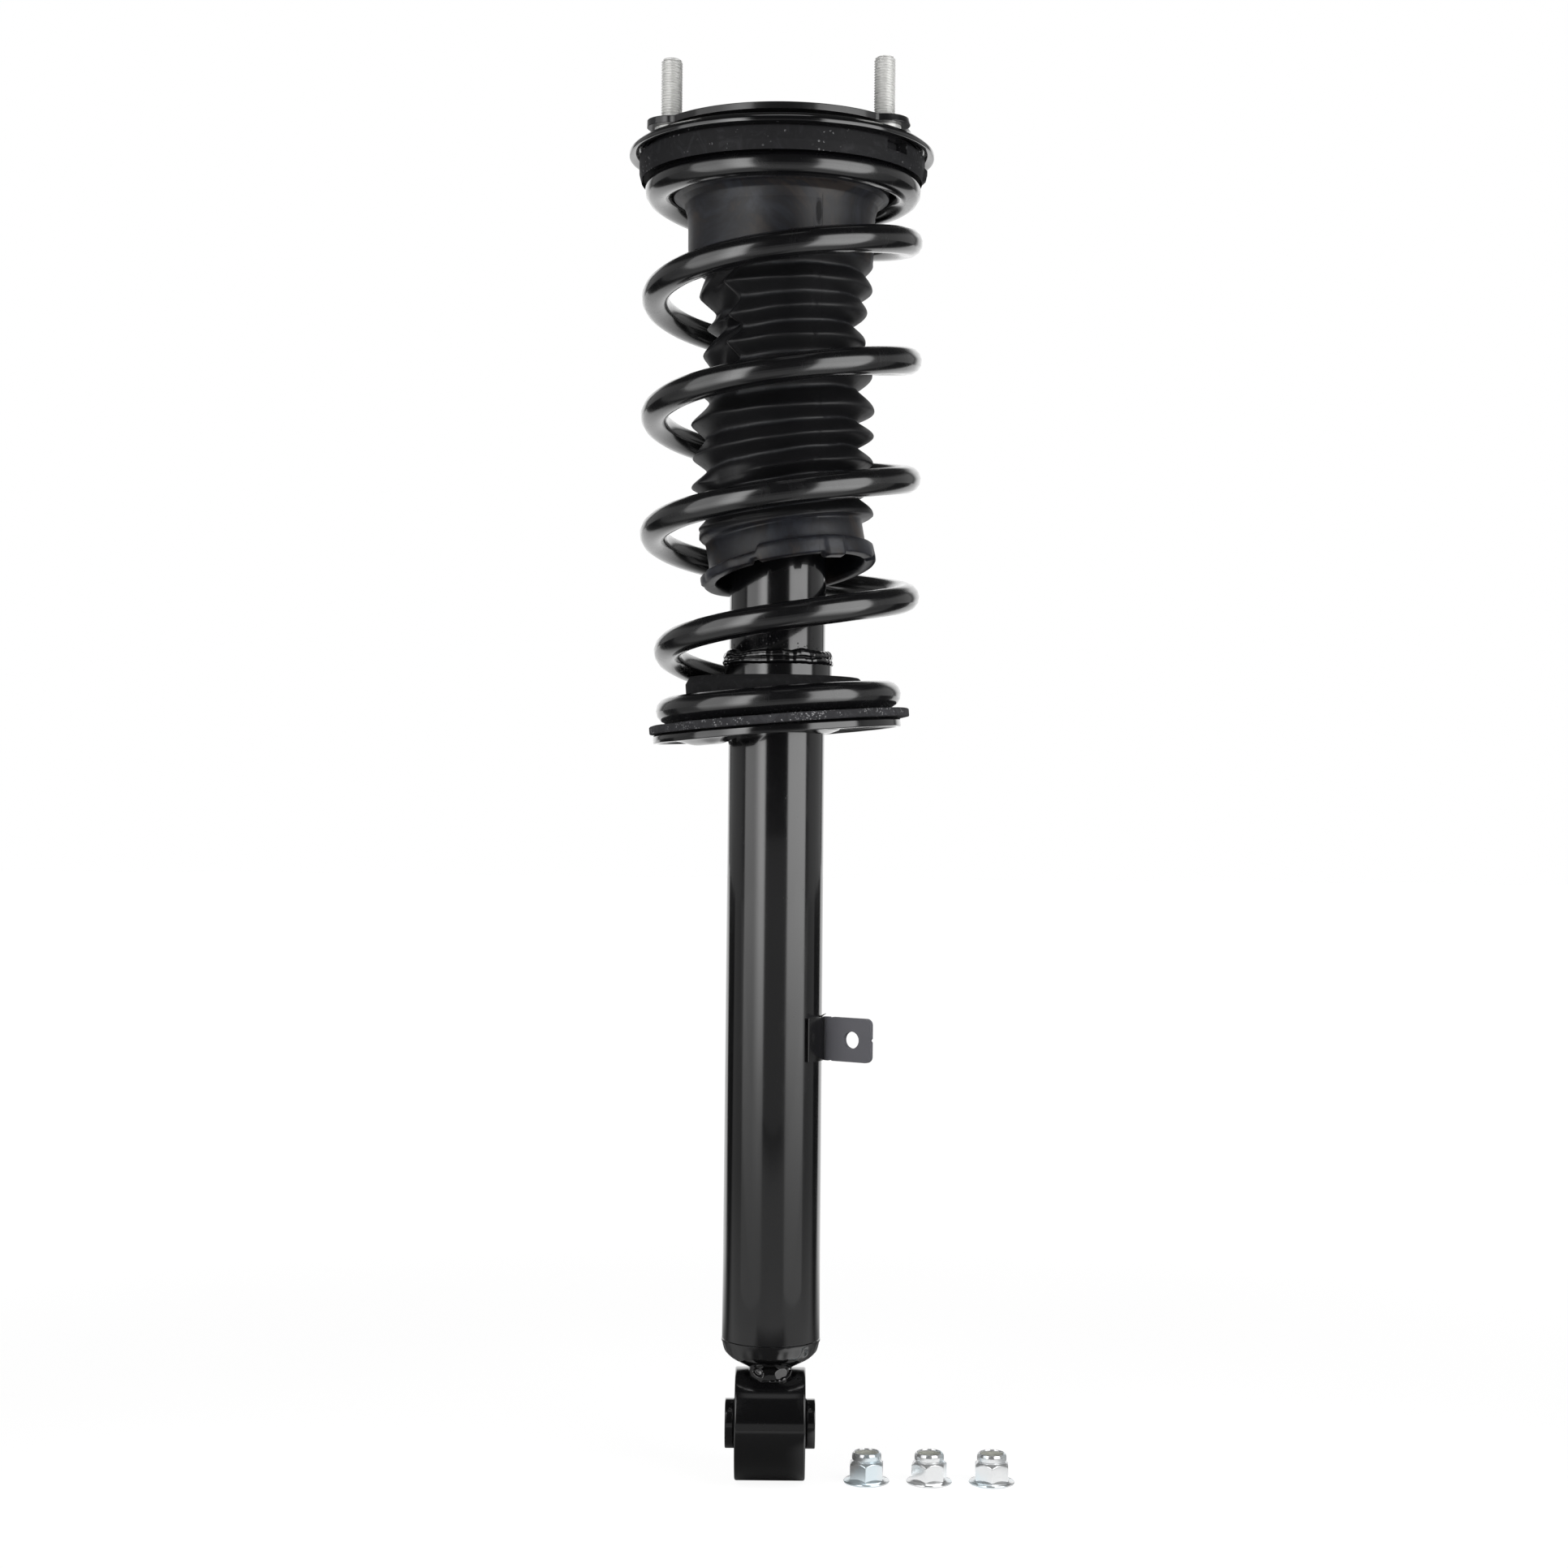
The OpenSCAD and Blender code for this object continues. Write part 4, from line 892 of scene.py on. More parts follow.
def build_upper_isolator():
    """A thick rubber ring with a skirt round the top coil, a notch and a moulding tab."""
    r, _, top = round_size("upper_isolator")
    face = -20.1
    skirt = -22.9
    outline = rounded([
        (32.5, top, 0.8), (r - 3, top, 0.6), (r - 3, -11.5, 0.6), (r, -11.8, 0.7),
        (r, -15.0, 0), (r - 0.1, face + 1.6, 0.6), (r - 1.2, skirt, 0.5),
        (66.9, skirt, 0.4), (66.6, face - 0.6, 0.5), (64, face, 0), (53, face, 0.6),
        (51.7, face - 0.8, 0.6), (51.7, -27.2, 1.4), (50.2, -28.8, 1.0), (32.5, -28.8, 1.2)],
        steps=3)
    ring = turned("upper_isolator_moulding", packed(outline, 1.1, beyond=62), 420)

    def place(x, y, z):
        rad = math.hypot(x, y)
        angle = heading(x, y)
        side = side_of(angle, 322, rad)
        cut = step(-7.1, -6.9, side) * step(7.1, 6.9, side)
        cut *= step(-17.3, -16.9, z)
        deep = step(r - 3.4, r - 2.6, rad)
        new_r = rad - 5.2 * cut * deep
        # Moulding tab at the end of the skirt and a shallow dent along the edge
        off = side_of(angle, -3, rad)
        tab = step(-3.4, -2.9, off) * step(3.4, 2.9, off)
        tab *= step(-22.2, -21.8, z) * step(-16.6, -17.2, z)
        new_r += 1.3 * tab * deep
        new_r += 0.14 * rumple(x, y, z, 11, 5) * deep
        if 150 < angle < 210:
            new_r -= 0.5 * hump(184, 8, angle) * deep
        return x / rad * new_r, y / rad * new_r, z
    reshape(ring, place)
    finished(ring, "mount_rubber", "isolator_rubber", "top_mount", "upper_isolator", angle=40)


# ---------------------------------------------------------------- spring

# Turns of the coil are counted in degrees
COIL_R = 60.5
TOP_COIL_R = 59.3
BOTTOM_COIL_R = 52.0
COIL_PITCH = 56.28
SPRING_H = 244.1
BOTTOM_COIL_Z = -271.0
BOTTOM_MID = 30.0
TOP_MID = BOTTOM_MID + 360 * SPRING_H / COIL_PITCH
BOTTOM_START = BOTTOM_MID - 60
TOP_START = TOP_MID - 40
FIRST_TURN = BOTTOM_MID - 270
LAST_TURN = TOP_MID + 262
SPRING_OFFSET = 0.8
SPRING_STEPS = 700
SPRING_SPAN = LAST_TURN - FIRST_TURN


def eased(turn, first, ramp):
    """Degrees past a first turn, with a soft start over a ramp."""
    if turn <= first:
        return 0.0
    if turn < first + ramp:
        return (turn - first) ** 2 / (2 * ramp)
    return turn - first - ramp / 2


def coil_radius(turn):
    """Radius of the wire's centre: less in both end coils."""
    return (BOTTOM_COIL_R
            + (COIL_R - BOTTOM_COIL_R) * step(BOTTOM_MID + 90, BOTTOM_MID + 350, turn)
            + (TOP_COIL_R - COIL_R) * step(TOP_MID - 180, TOP_MID + 60, turn))


def coil_rise(turn):
    """Height above the bottom coil; the closed coils at both ends don't climb."""
    return COIL_PITCH / 360 * (eased(turn, BOTTOM_START, 120) - eased(turn, TOP_START, 80))


def coil_point(turn):
    """Centre of the wire; the bottom coil leans with the lower seat."""
    r = coil_radius(turn)
    angle = math.radians(turn)
    tilt = math.tan(SEAT_LEAN) * r * math.cos(angle) * (1 - step(0, 180, turn))
    return Vector((r * math.cos(angle) + SPRING_OFFSET, r * math.sin(angle),
                   BOTTOM_COIL_Z + coil_rise(turn) + tilt))


def build_spring():
    """A round wire along the coil."""
    turns = [FIRST_TURN + SPRING_SPAN * i / SPRING_STEPS for i in range(SPRING_STEPS + 1)]
    points = [coil_point(turn) for turn in turns]
    wire = sizes().wire / MM / 2
    obj = tube_along("coil_spring_wire", points, wire, 24)
    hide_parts("coil_spring")
    finished(obj, "spring_enamel", "black_spring", None, angle=50)
    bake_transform(obj)
    # Finds the point of the coil's centre that is nearest to each vertex of the wire
    shares = [1 - coil_rise(turn) / SPRING_H for turn in turns]
    for vertex in obj.data.vertices:
        place = vertex.co / MM
        angle = heading(place.x - SPRING_OFFSET, place.y)
        best, far = 0, 1e9
        turn = (angle - FIRST_TURN) % 360
        while turn <= SPRING_SPAN + 20:
            i = min(SPRING_STEPS, max(0, round(turn / SPRING_SPAN * SPRING_STEPS)))
            gap = (points[i] - place).length
            if gap < far:
                best, far = i, gap
            turn += 360


# ---------------------------------------------------------------- dust boot

FOLD_TOP = -61.1
FOLD_H = 12.6
FOLD_R = 44.0
# Each crest: height at the right and left side, radius at the right and left side
CRESTS = [
    (-61.5, -62.5, 44.2, 43.6), (-73.9, -76.3, 43.8, 39.6), (-84.7, -91.8, 41.6, 35.8),
    (-98.7, -104.6, 41.0, 37.4), (-114.3, -121.0, 44.2, 41.0), (-131.3, -138.3, 45.6, 42.2),
    (-143.0, -154.6, 45.2, 41.4), (-155.8, -168.6, 45.0, 41.8), (-168.0, -179.4, 44.4, 40.6),
    (-179.8, -189.0, 45.2, 38.4),
]
# Each root between two crests: radius at the right and left side
ROOTS = [(40.2, 36.0), (38.1, 31.4), (34.4, 29.6), (35.4, 31.6), (37.2, 34.0), (37.3, 35.4),
         (37.4, 34.6), (37.2, 34.2), (38.6, 34.6)]
CUFF_LEAN = math.radians(-9.5)
CUFF_TOP = -174.5
CUFF_DROP = 10.4
CUFF_TILT = math.radians(8.0)
BOOT_WALL = 1.8
# Share of the stroke that the boot's foot follows
BOOT_CLOSING = 0.63
ROWS_PER_FOLD = 21
VALLEY = 9 / ROWS_PER_FOLD


def eased_ridge(value, rounding):
    """0 at 0 and 1 at 1, straight but for a rounded start."""
    def arm(v):
        return math.sqrt(v * v + rounding * rounding) - rounding
    return arm(value) / arm(1)


def fold_place(share, angle, inset):
    """Place of a point of the folds: share counts folds from the top crest."""
    side = math.cos(math.radians(angle))
    last = len(CRESTS) - 1
    i = min(last - 1, max(0, int(share)))
    part = share - i

    def both(pair):
        return (pair[0] + pair[1]) / 2 + (pair[0] - pair[1]) / 2 * side
    upper, lower = CRESTS[i], CRESTS[i + 1]
    z = both(upper[:2]) + (both(lower[:2]) - both(upper[:2])) * part
    root = both(ROOTS[i])
    crest = both(upper[2:]) if part < 0.5 else both(lower[2:])
    turn = part / VALLEY if part < VALLEY else 1 - (part - VALLEY) / (1 - VALLEY)
    ridge = 0.13 + 0.40 * max(0.0, side) ** 4
    trough = 0.20 - 0.14 * max(0.0, side)
    height = 1 - eased_ridge(1 - eased_ridge(1 - turn, trough), ridge)
    # One crest runs out on the front left
    height *= 1 - 0.75 * hump(7, 0.55, share) * step(204, 222, angle) * step(264, 238, angle)
    radius = root + (crest - root) * height
    # Folds pushed in at the left; the front ones end in a sharp step
    pushed = step(0.35, 0.75, share) * step(4.6, 4.1, share)
    end = 232.4 - 2.9 * math.cos(FULL * share)
    if 120 < angle < end and pushed:
        inward = pushed * step(end, end - 2.5, angle) * step(120, 150, angle)
        zigzag = abs((share * 1.9 + angle / 34) % 1 - 0.5) * 2
        radius -= inward * (3.4 + 2.2 * zigzag) * step(165, 215, angle)
        z += inward * 3.2 * math.sin(FULL * share * 0.5) * step(150, 190, angle)
    radius += pushed * 0.7 * hump(end + 2, 3.5, angle)
    return radius - inset, z


def boot_place(x, y, z):
    """From the straight bellows as it is turned to the boot as it hangs."""
    radius = math.hypot(x, y)
    angle = heading(x, y)
    if z >= FOLD_TOP:
        if z < -38:
            radius += 0.10 * rumple(x, y, z, 16, 2)
        return radius * math.cos(math.radians(angle)), radius * math.sin(math.radians(angle)), z
    if z > CUFF_TOP:
        share = (FOLD_TOP - z) / FOLD_H
        new_r, new_z = fold_place(share, angle, FOLD_R - radius)
        sag = sizes().fold_sag / MM
        new_z += sag * rumple(x, y, z * 0.5, 18, 7)
        new_r += 0.35 * rumple(x, y, z, 13, 9)
        # Each crest has a nick where the mould parts
        wave = 0.5 + 0.5 * math.cos(FULL * share)
        new_r -= 0.7 * hump(0, 1.1, side_of(angle, 294, new_r)) * wave ** 4
        return (new_r * math.cos(math.radians(angle)), new_r * math.sin(math.radians(angle)),
                new_z)
    down = CUFF_TOP - z
    side = math.cos(math.radians(angle))
    ease = 1 - step(0, 5.5, down)
    radius += (-2.4 + 2.1 * side) * ease * step(36, 40, radius)
    z2 = -CUFF_DROP - down - 2.3 * side * ease
    away = side_of(angle, 303, radius)
    radius += 0.12 * rumple(x, y, z, 12, 4)
    # The flange is taller from the step on its front left round to the right
    taller = step(248.6, 249.8, angle) * step(356, 350, angle) * (radius > 37)
    z2 += 2.9 * taller * step(12.5, 19.4, down) * step(24.6, 22.4, down)
    if down > 20.2:
        block = step(-5.6, -5.0, away) * step(5.6, 5.0, away)
        radius += 0.8 * block * step(38, 40, radius)
        z2 -= 1.9 * block * step(23.6, 24.8, down)
        z2 += 1.6 * step(3.0, 2.4, abs(turn_from(angle, 247))) * step(23.6, 24.8, down)
        z2 += 1.3 * step(4.0, 3.2, abs(turn_from(angle, 349))) * step(23.6, 24.8, down)
        side_block = step(180, 186, angle) * step(236, 228, angle)
        facet = 0.9 * math.cos(math.radians((angle % 22) - 11) * 6)
        radius += side_block * (0.5 + facet) * step(38, 40, radius)
    px = radius * side
    py = radius * math.sin(math.radians(angle))
    tilt = CUFF_TILT * step(0, 11, down)
    below = z2 + CUFF_DROP
    py, z2 = (py * math.cos(tilt) + below * math.sin(tilt),
              below * math.cos(tilt) - py * math.sin(tilt) - CUFF_DROP)
    return (px * math.cos(CUFF_LEAN) + z2 * math.sin(CUFF_LEAN), py,
            CUFF_TOP - px * math.sin(CUFF_LEAN) + z2 * math.cos(CUFF_LEAN))


def boot_outline():
    """Outline of the straight bellows: collar, folds, cuff and the inner wall."""
    rows = len(ROOTS) * ROWS_PER_FOLD
    folds = [(FOLD_R, FOLD_TOP - FOLD_H * i / ROWS_PER_FOLD) for i in range(rows + 1)]
    inner = [(FOLD_R - BOOT_WALL, z) for _, z in folds[::-3]]
    collar = rounded([(30.4, -22.1, 0.4), (32.2, -22.1, 0.4), (32.2, -29.1, 0.6),
                      (51.0, -29.1, 0.5), (51.5, -29.7, 0.4), (51.3, -30.6, 0.4),
                      (48.9, -31.9, 1.6), (46.2, -34.4, 2.4), (44.9, -38.6, 2.0),
                      (44.4, -46, 0), (44.4, -50, 0), (44.4, -54, 0), (44.3, -59.5, 0)],
                     steps=3)[:-1]
    fine = []
    for a, b in zip(collar, collar[1:]):
        parts = max(1, int(abs(a[1] - b[1]) / 1.2)) if a[0] > 43 and b[0] > 43 else 1
        fine += [(a[0] + (b[0] - a[0]) * k / parts, a[1] + (b[1] - a[1]) * k / parts)
                 for k in range(parts)]
    fine.append(collar[-1])
    # Radius and distance below the cuff's top, down its outside and up its inside
    cuff = [(44.0, 0.6), (43.7, 1.6), (42.6, 2.8), (40.4, 3.8), (38.3, 4.6), (37.8, 5.6),
            (37.7, 7.5), (37.7, 9.5), (37.7, 11.5), (37.7, 13.5), (37.7, 15.5), (37.7, 17.5),
            (37.7, 19.4), (37.9, 20.2), (38.6, 20.7), (40.8, 20.9), (41.4, 21.5), (41.5, 23),
            (41.4, 24.9), (40.8, 25.5), (39.6, 25.6), (36.8, 25.6), (36.0, 25.0),
            (35.9, 23), (35.9, 18), (35.9, 12), (36.0, 6.2), (37.6, 4.2), (41.4, 1.9),
            (42.2, 0.6)]
    upper_inner = [(42.6, -58), (42.6, -40), (41.2, -34.6), (37.5, -31.4), (30.6, -31.2)]
    return fine + folds + [(r, CUFF_TOP - down) for r, down in cuff] + inner + upper_inner


def mark_boot(boot):
    """Marks the creases, which get a painted highlight, and the collars, which get painted sheen
    and less roughness.
    """
    for name in ("crease", "collar"):
        boot.data.attributes.new(name, "FLOAT", "POINT")
    crease = boot.data.attributes["crease"]
    collar = boot.data.attributes["collar"]
    for i, vertex in enumerate(boot.data.vertices):
        x, y, z = vertex.co / MM
        share = (FOLD_TOP - z) / FOLD_H
        away = share % 1 - VALLEY
        on_folds = FOLD_TOP > z > CUFF_TOP - 2
        outside = math.hypot(x, y) > FOLD_R - 0.8
        # A thin band just below each valley, where the painted crease highlight goes
        line = step(-0.05, 0.0, away) * step(0.08, 0.02, away)
        crease.data[i].value = line * on_folds * outside
        below = step(FOLD_TOP + 1, FOLD_TOP - 3, z)
        collar.data[i].value = 1 - below * step(CUFF_TOP - 4, CUFF_TOP, z)


def build_boot():
    """A turned bellows, bent to its uneven folds, whose lower collar leans."""
    boot = turned("dust_boot_bellows", boot_outline(), 240)
    mark_boot(boot)
    reshape(boot, boot_place)
    weld(boot, 1e-7)
    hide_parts("dust_boot")
    finished(boot, "dust_boot_rubber", "boot_rubber", None, angle=60)
    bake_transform(boot)
    # Works out each vertex's height along the cuff's lean and a share of the stroke from it
    for vertex in boot.data.vertices:
        z = vertex.co.z / MM
        x = vertex.co.x / MM
        level = z - (x * math.tan(-CUFF_LEAN)) * step(-150, -185, z)
        BOOT_CLOSING * min(1.0, max(0.0, (FOLD_TOP - level) / 122))


def build_bump_stop():
    """A waisted stop of cellular foam round the rod."""
    _, foot, top = round_size("bump_stop")
    outline = rounded([
        (6.6, top, 0.5), (18.1, top, 0.8), (18.1, -35.0, 1.2), (14.4, -39.4, 2.4),
        (17.0, -43.6, 2.4), (17.0, -47.0, 2.0), (13.4, -51.4, 2.4), (16.0, -55.6, 2.4),
        (16.0, -59.0, 2.0), (12.6, -63.4, 2.4), (14.0, -67.0, 2.0), (13.0, foot, 1.6),
        (6.6, foot, 0.8)], steps=5)
    stop = turned("bump_stop_foam", outline, 96)
    finished(stop, "foam", "bump_foam", "top_mount", "bump_stop")


# ---------------------------------------------------------------- damper

def build_tube():
    """The outer tube, a little wider at its foot, with its top edge turned in."""
    r, foot, top = round_size("damper_tube")
    outline = rounded([(r - 2, foot, 0.2), (r + 0.85, foot + 1.4, 0.3),
                       (r + 0.8, foot + 12, 0), (r + 0.75, foot + 34, 0),
                       (r + 0.72, foot + 66, 0), (r + 0.65, foot + 130, 0),
                       (r + 0.52, foot + 200, 0), (r + 0.48, foot + 300, 0),
                       (r + 0.45, top, 1.6), (15.3, top, 0.5), (15.3, top - 2, 0.5),
                       (r - 2, top - 2, 0.6)], steps=4)
    tube = turned("damper_tube_shell", outline, 192)
    finished(tube, "gloss_enamel", "black_gloss", "damper", "damper_tube")


def build_base_cap():
    """The rounded end of the tube, with a seam above and fine flutes round its shoulder."""
    foot = EYE_Z + EYE_R
    seam = TUBE_FOOT + 1.4
    skin = [(23.25, 0), (23.6, -0.35), (23.55, -1.2), (23.2, -1.9), (23.0, -3.1), (22.6, -4.6),
            (22.2, -5.7), (21.6, -6.7), (20.6, -7.8), (19.2, -9.0), (17.5, -10.1),
            (15.5, -11.2), (13.4, -12.3), (11.6, -13.2), (10.4, -14.1)]
    outline = ([(0, TUBE_FOOT + 6), (20.4, TUBE_FOOT + 6), (20.4, seam)]
               + [(radius, seam + level) for radius, level in skin]
               + [(9.9, foot - 1.8), (0, foot - 1.8)])
    cap = turned("base_cap_pressing", outline, 288)

    def place(x, y, z):
        rad = math.hypot(x, y)
        if rad < 1e-6:
            return x, y, z
        angle = heading(x, y)
        down = seam - z
        flute = 0.5 + 0.5 * math.cos(math.radians(angle * 24))
        new_r = rad - 0.34 * flute * hump(5.0, 4.0, down) * step(16, 19, rad)
        lip = hump(0.8, 0.9, down) * step(20.6, 22, rad)
        new_r += 0.22 * lip * rumple(x, y, 0, 3.2, 6)
        return x / rad * new_r, y / rad * new_r, z
    reshape(cap, place)
    finished(cap, "gloss_enamel", "black_gloss", "damper", "base_cap")


def leaned(x, y, z):
    """From the lower seat's own frame to the damper's."""
    return (x * math.cos(SEAT_LEAN) - z * math.sin(SEAT_LEAN), y,
            DISH_TOP + x * math.sin(SEAT_LEAN) + z * math.cos(SEAT_LEAN))


def build_lower_seat():
    """A leaning dish with a turned-down rim, a pressed pocket and a neck round the tube."""
    r = 59.4
    outline = rounded([
        (24.5, 0, 0), (40, 0, 0), (50, 0, 0), (r, 0, 1.3), (r, -4.2, 0.5), (r - 2.4, -4.2, 0.5),
        (r - 2.6, -3, 1.2), (50, -3, 0), (40, -3, 0), (24.5, -3, 0)], steps=4)
    dish = turned("dish", packed(outline, 1.1), 240)

    def press(x, y, z):
        rad = math.hypot(x, y)
        angle = heading(x, y)
        away = abs(turn_from(angle, 221))
        pocket = (1 - step(6, 31, away)) * step(34, 40, rad) * step(58.0, 44.5, rad)
        under = step(-1.5, -2.6, z)
        z -= 3.9 * pocket * under
        z += 0.12 * rumple(x, y, 0, 15, 1) * step(50, 58, rad)
        return leaned(x, y, z)
    reshape(dish, press)
    neck = turned("neck", rounded([
        (22.6, DISH_TOP - 3.4, 0.4), (24.6, DISH_TOP - 3.0, 0.6), (29, DISH_TOP - 1.4, 0),
        (30.5, DISH_TOP + 0.6, 1.5), (25.7, DISH_TOP + 6.5, 3), (25.5, DISH_TOP + 12, 0),
        (25.5, NECK_TOP, 0.8), (22.5, NECK_TOP, 0.2)], steps=4), 160)
    reshape(neck, lambda x, y, z: (x + SEAT_SHIFT, y, z))
    seat = join("lower_seat_pressing", dish, neck)
    finished(seat, "gloss_enamel", "black_gloss", "damper", "lower_seat")


WELD_STEPS = 240
SPATTER = 34


def weld_run(level, r, thick, seed):
    """One rippled bead round the neck, at a level, with a radius and a thickness."""
    ripple = sizes().weld_ripple / MM
    points, radii = [], []
    for i in range(WELD_STEPS):
        a = FULL * i / WELD_STEPS
        x, y = math.cos(a), math.sin(a)
        drift = rumple(x * 30, y * 30, 0, 9, seed)
        fish = 0.5 + 0.5 * math.cos(a * 46 + 2 * drift)
        reach = r + 0.4 * drift * ripple
        points.append((reach * x + 0.5, reach * y, level + 0.9 * drift * ripple * 1.4))
        radii.append(thick + ripple * (0.55 * drift + 0.22 * fish))
    return tube_along("bead", points, lambda i: radii[i], 16, True)


def build_seat_weld():
    """Two runs of weld on the neck, with spatter on the tube above them."""
    beads = [weld_run(NECK_TOP - 1.6, 24.0, 2.3, 1.0), weld_run(NECK_TOP - 4.4, 25.0, 1.7, 9.0)]
    rng = random.Random(4)
    drops = []
    for _ in range(SPATTER):
        a = math.radians(rng.uniform(200, 330))
        z = NECK_TOP + 1.6 + abs(rng.gauss(0, 2.6))
        size = rng.uniform(0.18, 0.42)
        start()
        bpy.ops.mesh.primitive_ico_sphere_add(
            subdivisions=2, radius=size * MM,
            location=(23.0 * math.cos(a) * MM, 23.0 * math.sin(a) * MM, z * MM))
        bpy.ops.object.transform_apply(location=True, rotation=True, scale=True)
        drops.append(added("drop"))
    weld_obj = join("seat_weld_bead", *beads, *drops)
    finished(weld_obj, "gloss_enamel", "black_gloss", "damper", "seat_weld", angle=60)


def build_lower_pad():
    """A leaning rubber pad whose upright hub goes round the seat's neck."""
    outline = rounded([
        (26.2, 0.3, 0.4), (60.9, 0.3, 0.7), (62.2, 0.3, 0.9), (62.2, 4.3, 0.9),
        (59.0, 4.3, 0.4), (44.4, 4.3, 1.0), (43.2, 5.5, 1.2), (43.0, 20.2, 1.2),
        (40.6, 23.8, 1.2), (26.2, 23.8, 1.2)], steps=3)
    pad = turned("lower_pad_moulding", packed(outline, 2.0), 240)

    def place(x, y, z):
        rad = math.hypot(x, y)
        flange = step(44, 52, rad)
        shift = 1.4 * flange
        wave = 0.22 * rumple(x, y, z, 16, 3) * flange
        # The bore widens at its foot, where the neck does
        if rad < 31 and z < 9:
            need = 26.0 + max(0.0, 7.5 - z) * 0.75
            if rad < need:
                x, y = x / rad * need, y / rad * need
        x += SEAT_SHIFT * (1 - flange)
        px, py, pz = leaned(x + shift, y, z + wave)
        hub = step(9, 17, z) * step(44.5, 43.5, rad)
        return px, py, pz - hub * (px * math.tan(SEAT_LEAN) + 0.6)
    reshape(pad, place)
    finished(pad, "lower_pad_rubber", "pad_rubber", "damper", "lower_isolator")


BRACKET_H = 20.8
BRACKET_T = 2.3
BRACKET_LOW, BRACKET_HIGH = span("hose_bracket")
BRACKET_Z = (BRACKET_LOW.z + BRACKET_HIGH.z) / 2
BRACKET_R = TUBE_R + BRACKET_T
EAR_LEN = 25.8
EAR_HOLE = 15.2
EAR_TURN = math.radians(33)
# Seen from above: the bend's place, and the directions along the ear and through it
BEND_AT = math.radians(15)
BEND = Vector((BRACKET_R * math.cos(BEND_AT), -BRACKET_R * math.sin(BEND_AT)))
ALONG = Vector((math.cos(EAR_TURN), -math.sin(EAR_TURN)))
ACROSS = Vector((math.sin(EAR_TURN), math.cos(EAR_TURN)))


def bracket_ear():
    """A plate with rounded corners, small nicks and a hole, drawn in its own plane."""
    half = BRACKET_H / 2
    corner = []
    for cx, cy, first in ((EAR_LEN - 3, half - 3, 90), (EAR_LEN - 3, 3 - half, 0)):
        corner += arc((cx, cy), 3, first, first - 90, 8)
    side = [(0.6, half), (2.6, half), (3.0, half - 0.4), (4.2, half - 0.4), (4.6, half)]
    right = [(EAR_LEN, 1.2), (EAR_LEN - 0.6, 0.5), (EAR_LEN - 0.6, 0.0), (EAR_LEN, -0.6)]
    under = [(4.4, -half), (4.0, 0.35 - half), (2.9, 0.35 - half), (2.4, -half), (0.6, -half)]
    edge = side + corner[:9] + right + corner[9:] + under
    hole = arc((EAR_HOLE, 0), 4.05, 0, 360, 64)[:-1]
    rings = [drawn(name, [(x, 0, z) for x, z in points])
             for name, points in (("ear", edge), ("bore", hole))]
    ear = raised(join("ear", *rings), (0, BRACKET_T * MM, 0), fill=True)
    bevelled(ear, 0.3, angle=50)
    return reshape(ear, lambda x, y, z: (BEND.x + ALONG.x * x + ACROSS.x * y,
                                         BEND.y + ALONG.y * x + ACROSS.y * y, z + BRACKET_Z))


def bracket_foot():
    """A strip on the tube with the bend at its end, drawn from above."""
    strip = arc((0, 0), BRACKET_R, -48, -15, 16)
    bend = [tuple(BEND + ALONG * 1.4), tuple(BEND + ALONG * 1.4 + ACROSS * BRACKET_T),
            tuple(BEND + ALONG * 0.2 + ACROSS * (BRACKET_T * 0.98)),
            tuple(BEND - ALONG * 1.0 + ACROSS * (BRACKET_T * 0.72)),
            tuple(BEND - ALONG * 1.7 + ACROSS * (BRACKET_T * 0.25))]
    ring = strip + bend + arc((0, 0), TUBE_R - 0.05, -10, -48, 16)
    foot = drawn("foot", [(x, y, BRACKET_Z - BRACKET_H / 2) for x, y in ring], "NGON")
    return bevelled(raised(foot, (0, 0, BRACKET_H * MM)), 0.3, angle=50)


def build_bracket():
    """An ear and a foot that meet at the bend, with a shred of metal at its top edge."""
    ear = bracket_ear()
    foot = bracket_foot()
    top = BRACKET_Z + BRACKET_H / 2
    burr = tube_along("burr", [(BEND.x - 2.4, BEND.y - 0.2, top - 0.4),
                               (BEND.x - 1.0, BEND.y - 0.4, top + 0.4),
                               (BEND.x + 0.9, BEND.y - 0.3, top + 1.5)],
                      lambda i: (0.55, 0.4, 0.15)[i], 8)
    both = join("hose_bracket_sheet", ear, foot, burr)
    finished(both, "bracket_paint", "black_gloss", "damper", "hose_bracket", angle=35)
    # Of the larger faces only the long strips of the foot are shaded smooth
    for face in both.data.polygons:
        if face.area > 1e-6:
            face.use_smooth = len(face.vertices) == 4 and face.area > 12e-6


# ---------------------------------------------------------------- lower eye

def build_eye_ring():
    """The forged ring that carries the bush."""
    ring = turned("eye_ring_forging", rounded([
        (EYE_R - 4.5, -EYE_W / 2, 0.5), (EYE_R - 4.5, EYE_W / 2, 0.5),
        (EYE_R, EYE_W / 2, 0.9), (EYE_R, EYE_W / 6, 0), (EYE_R, -EYE_W / 6, 0),
        (EYE_R, -EYE_W / 2, 0.9)], steps=4), 192)
    reshape(ring, lambda x, y, z: (x * (1 + 0.0009 * rumple(x, y, z, 20)), y, z))
    along_x(ring, EYE_Z)
    finished(ring, "gloss_enamel", "black_gloss", "damper", "eye_ring")


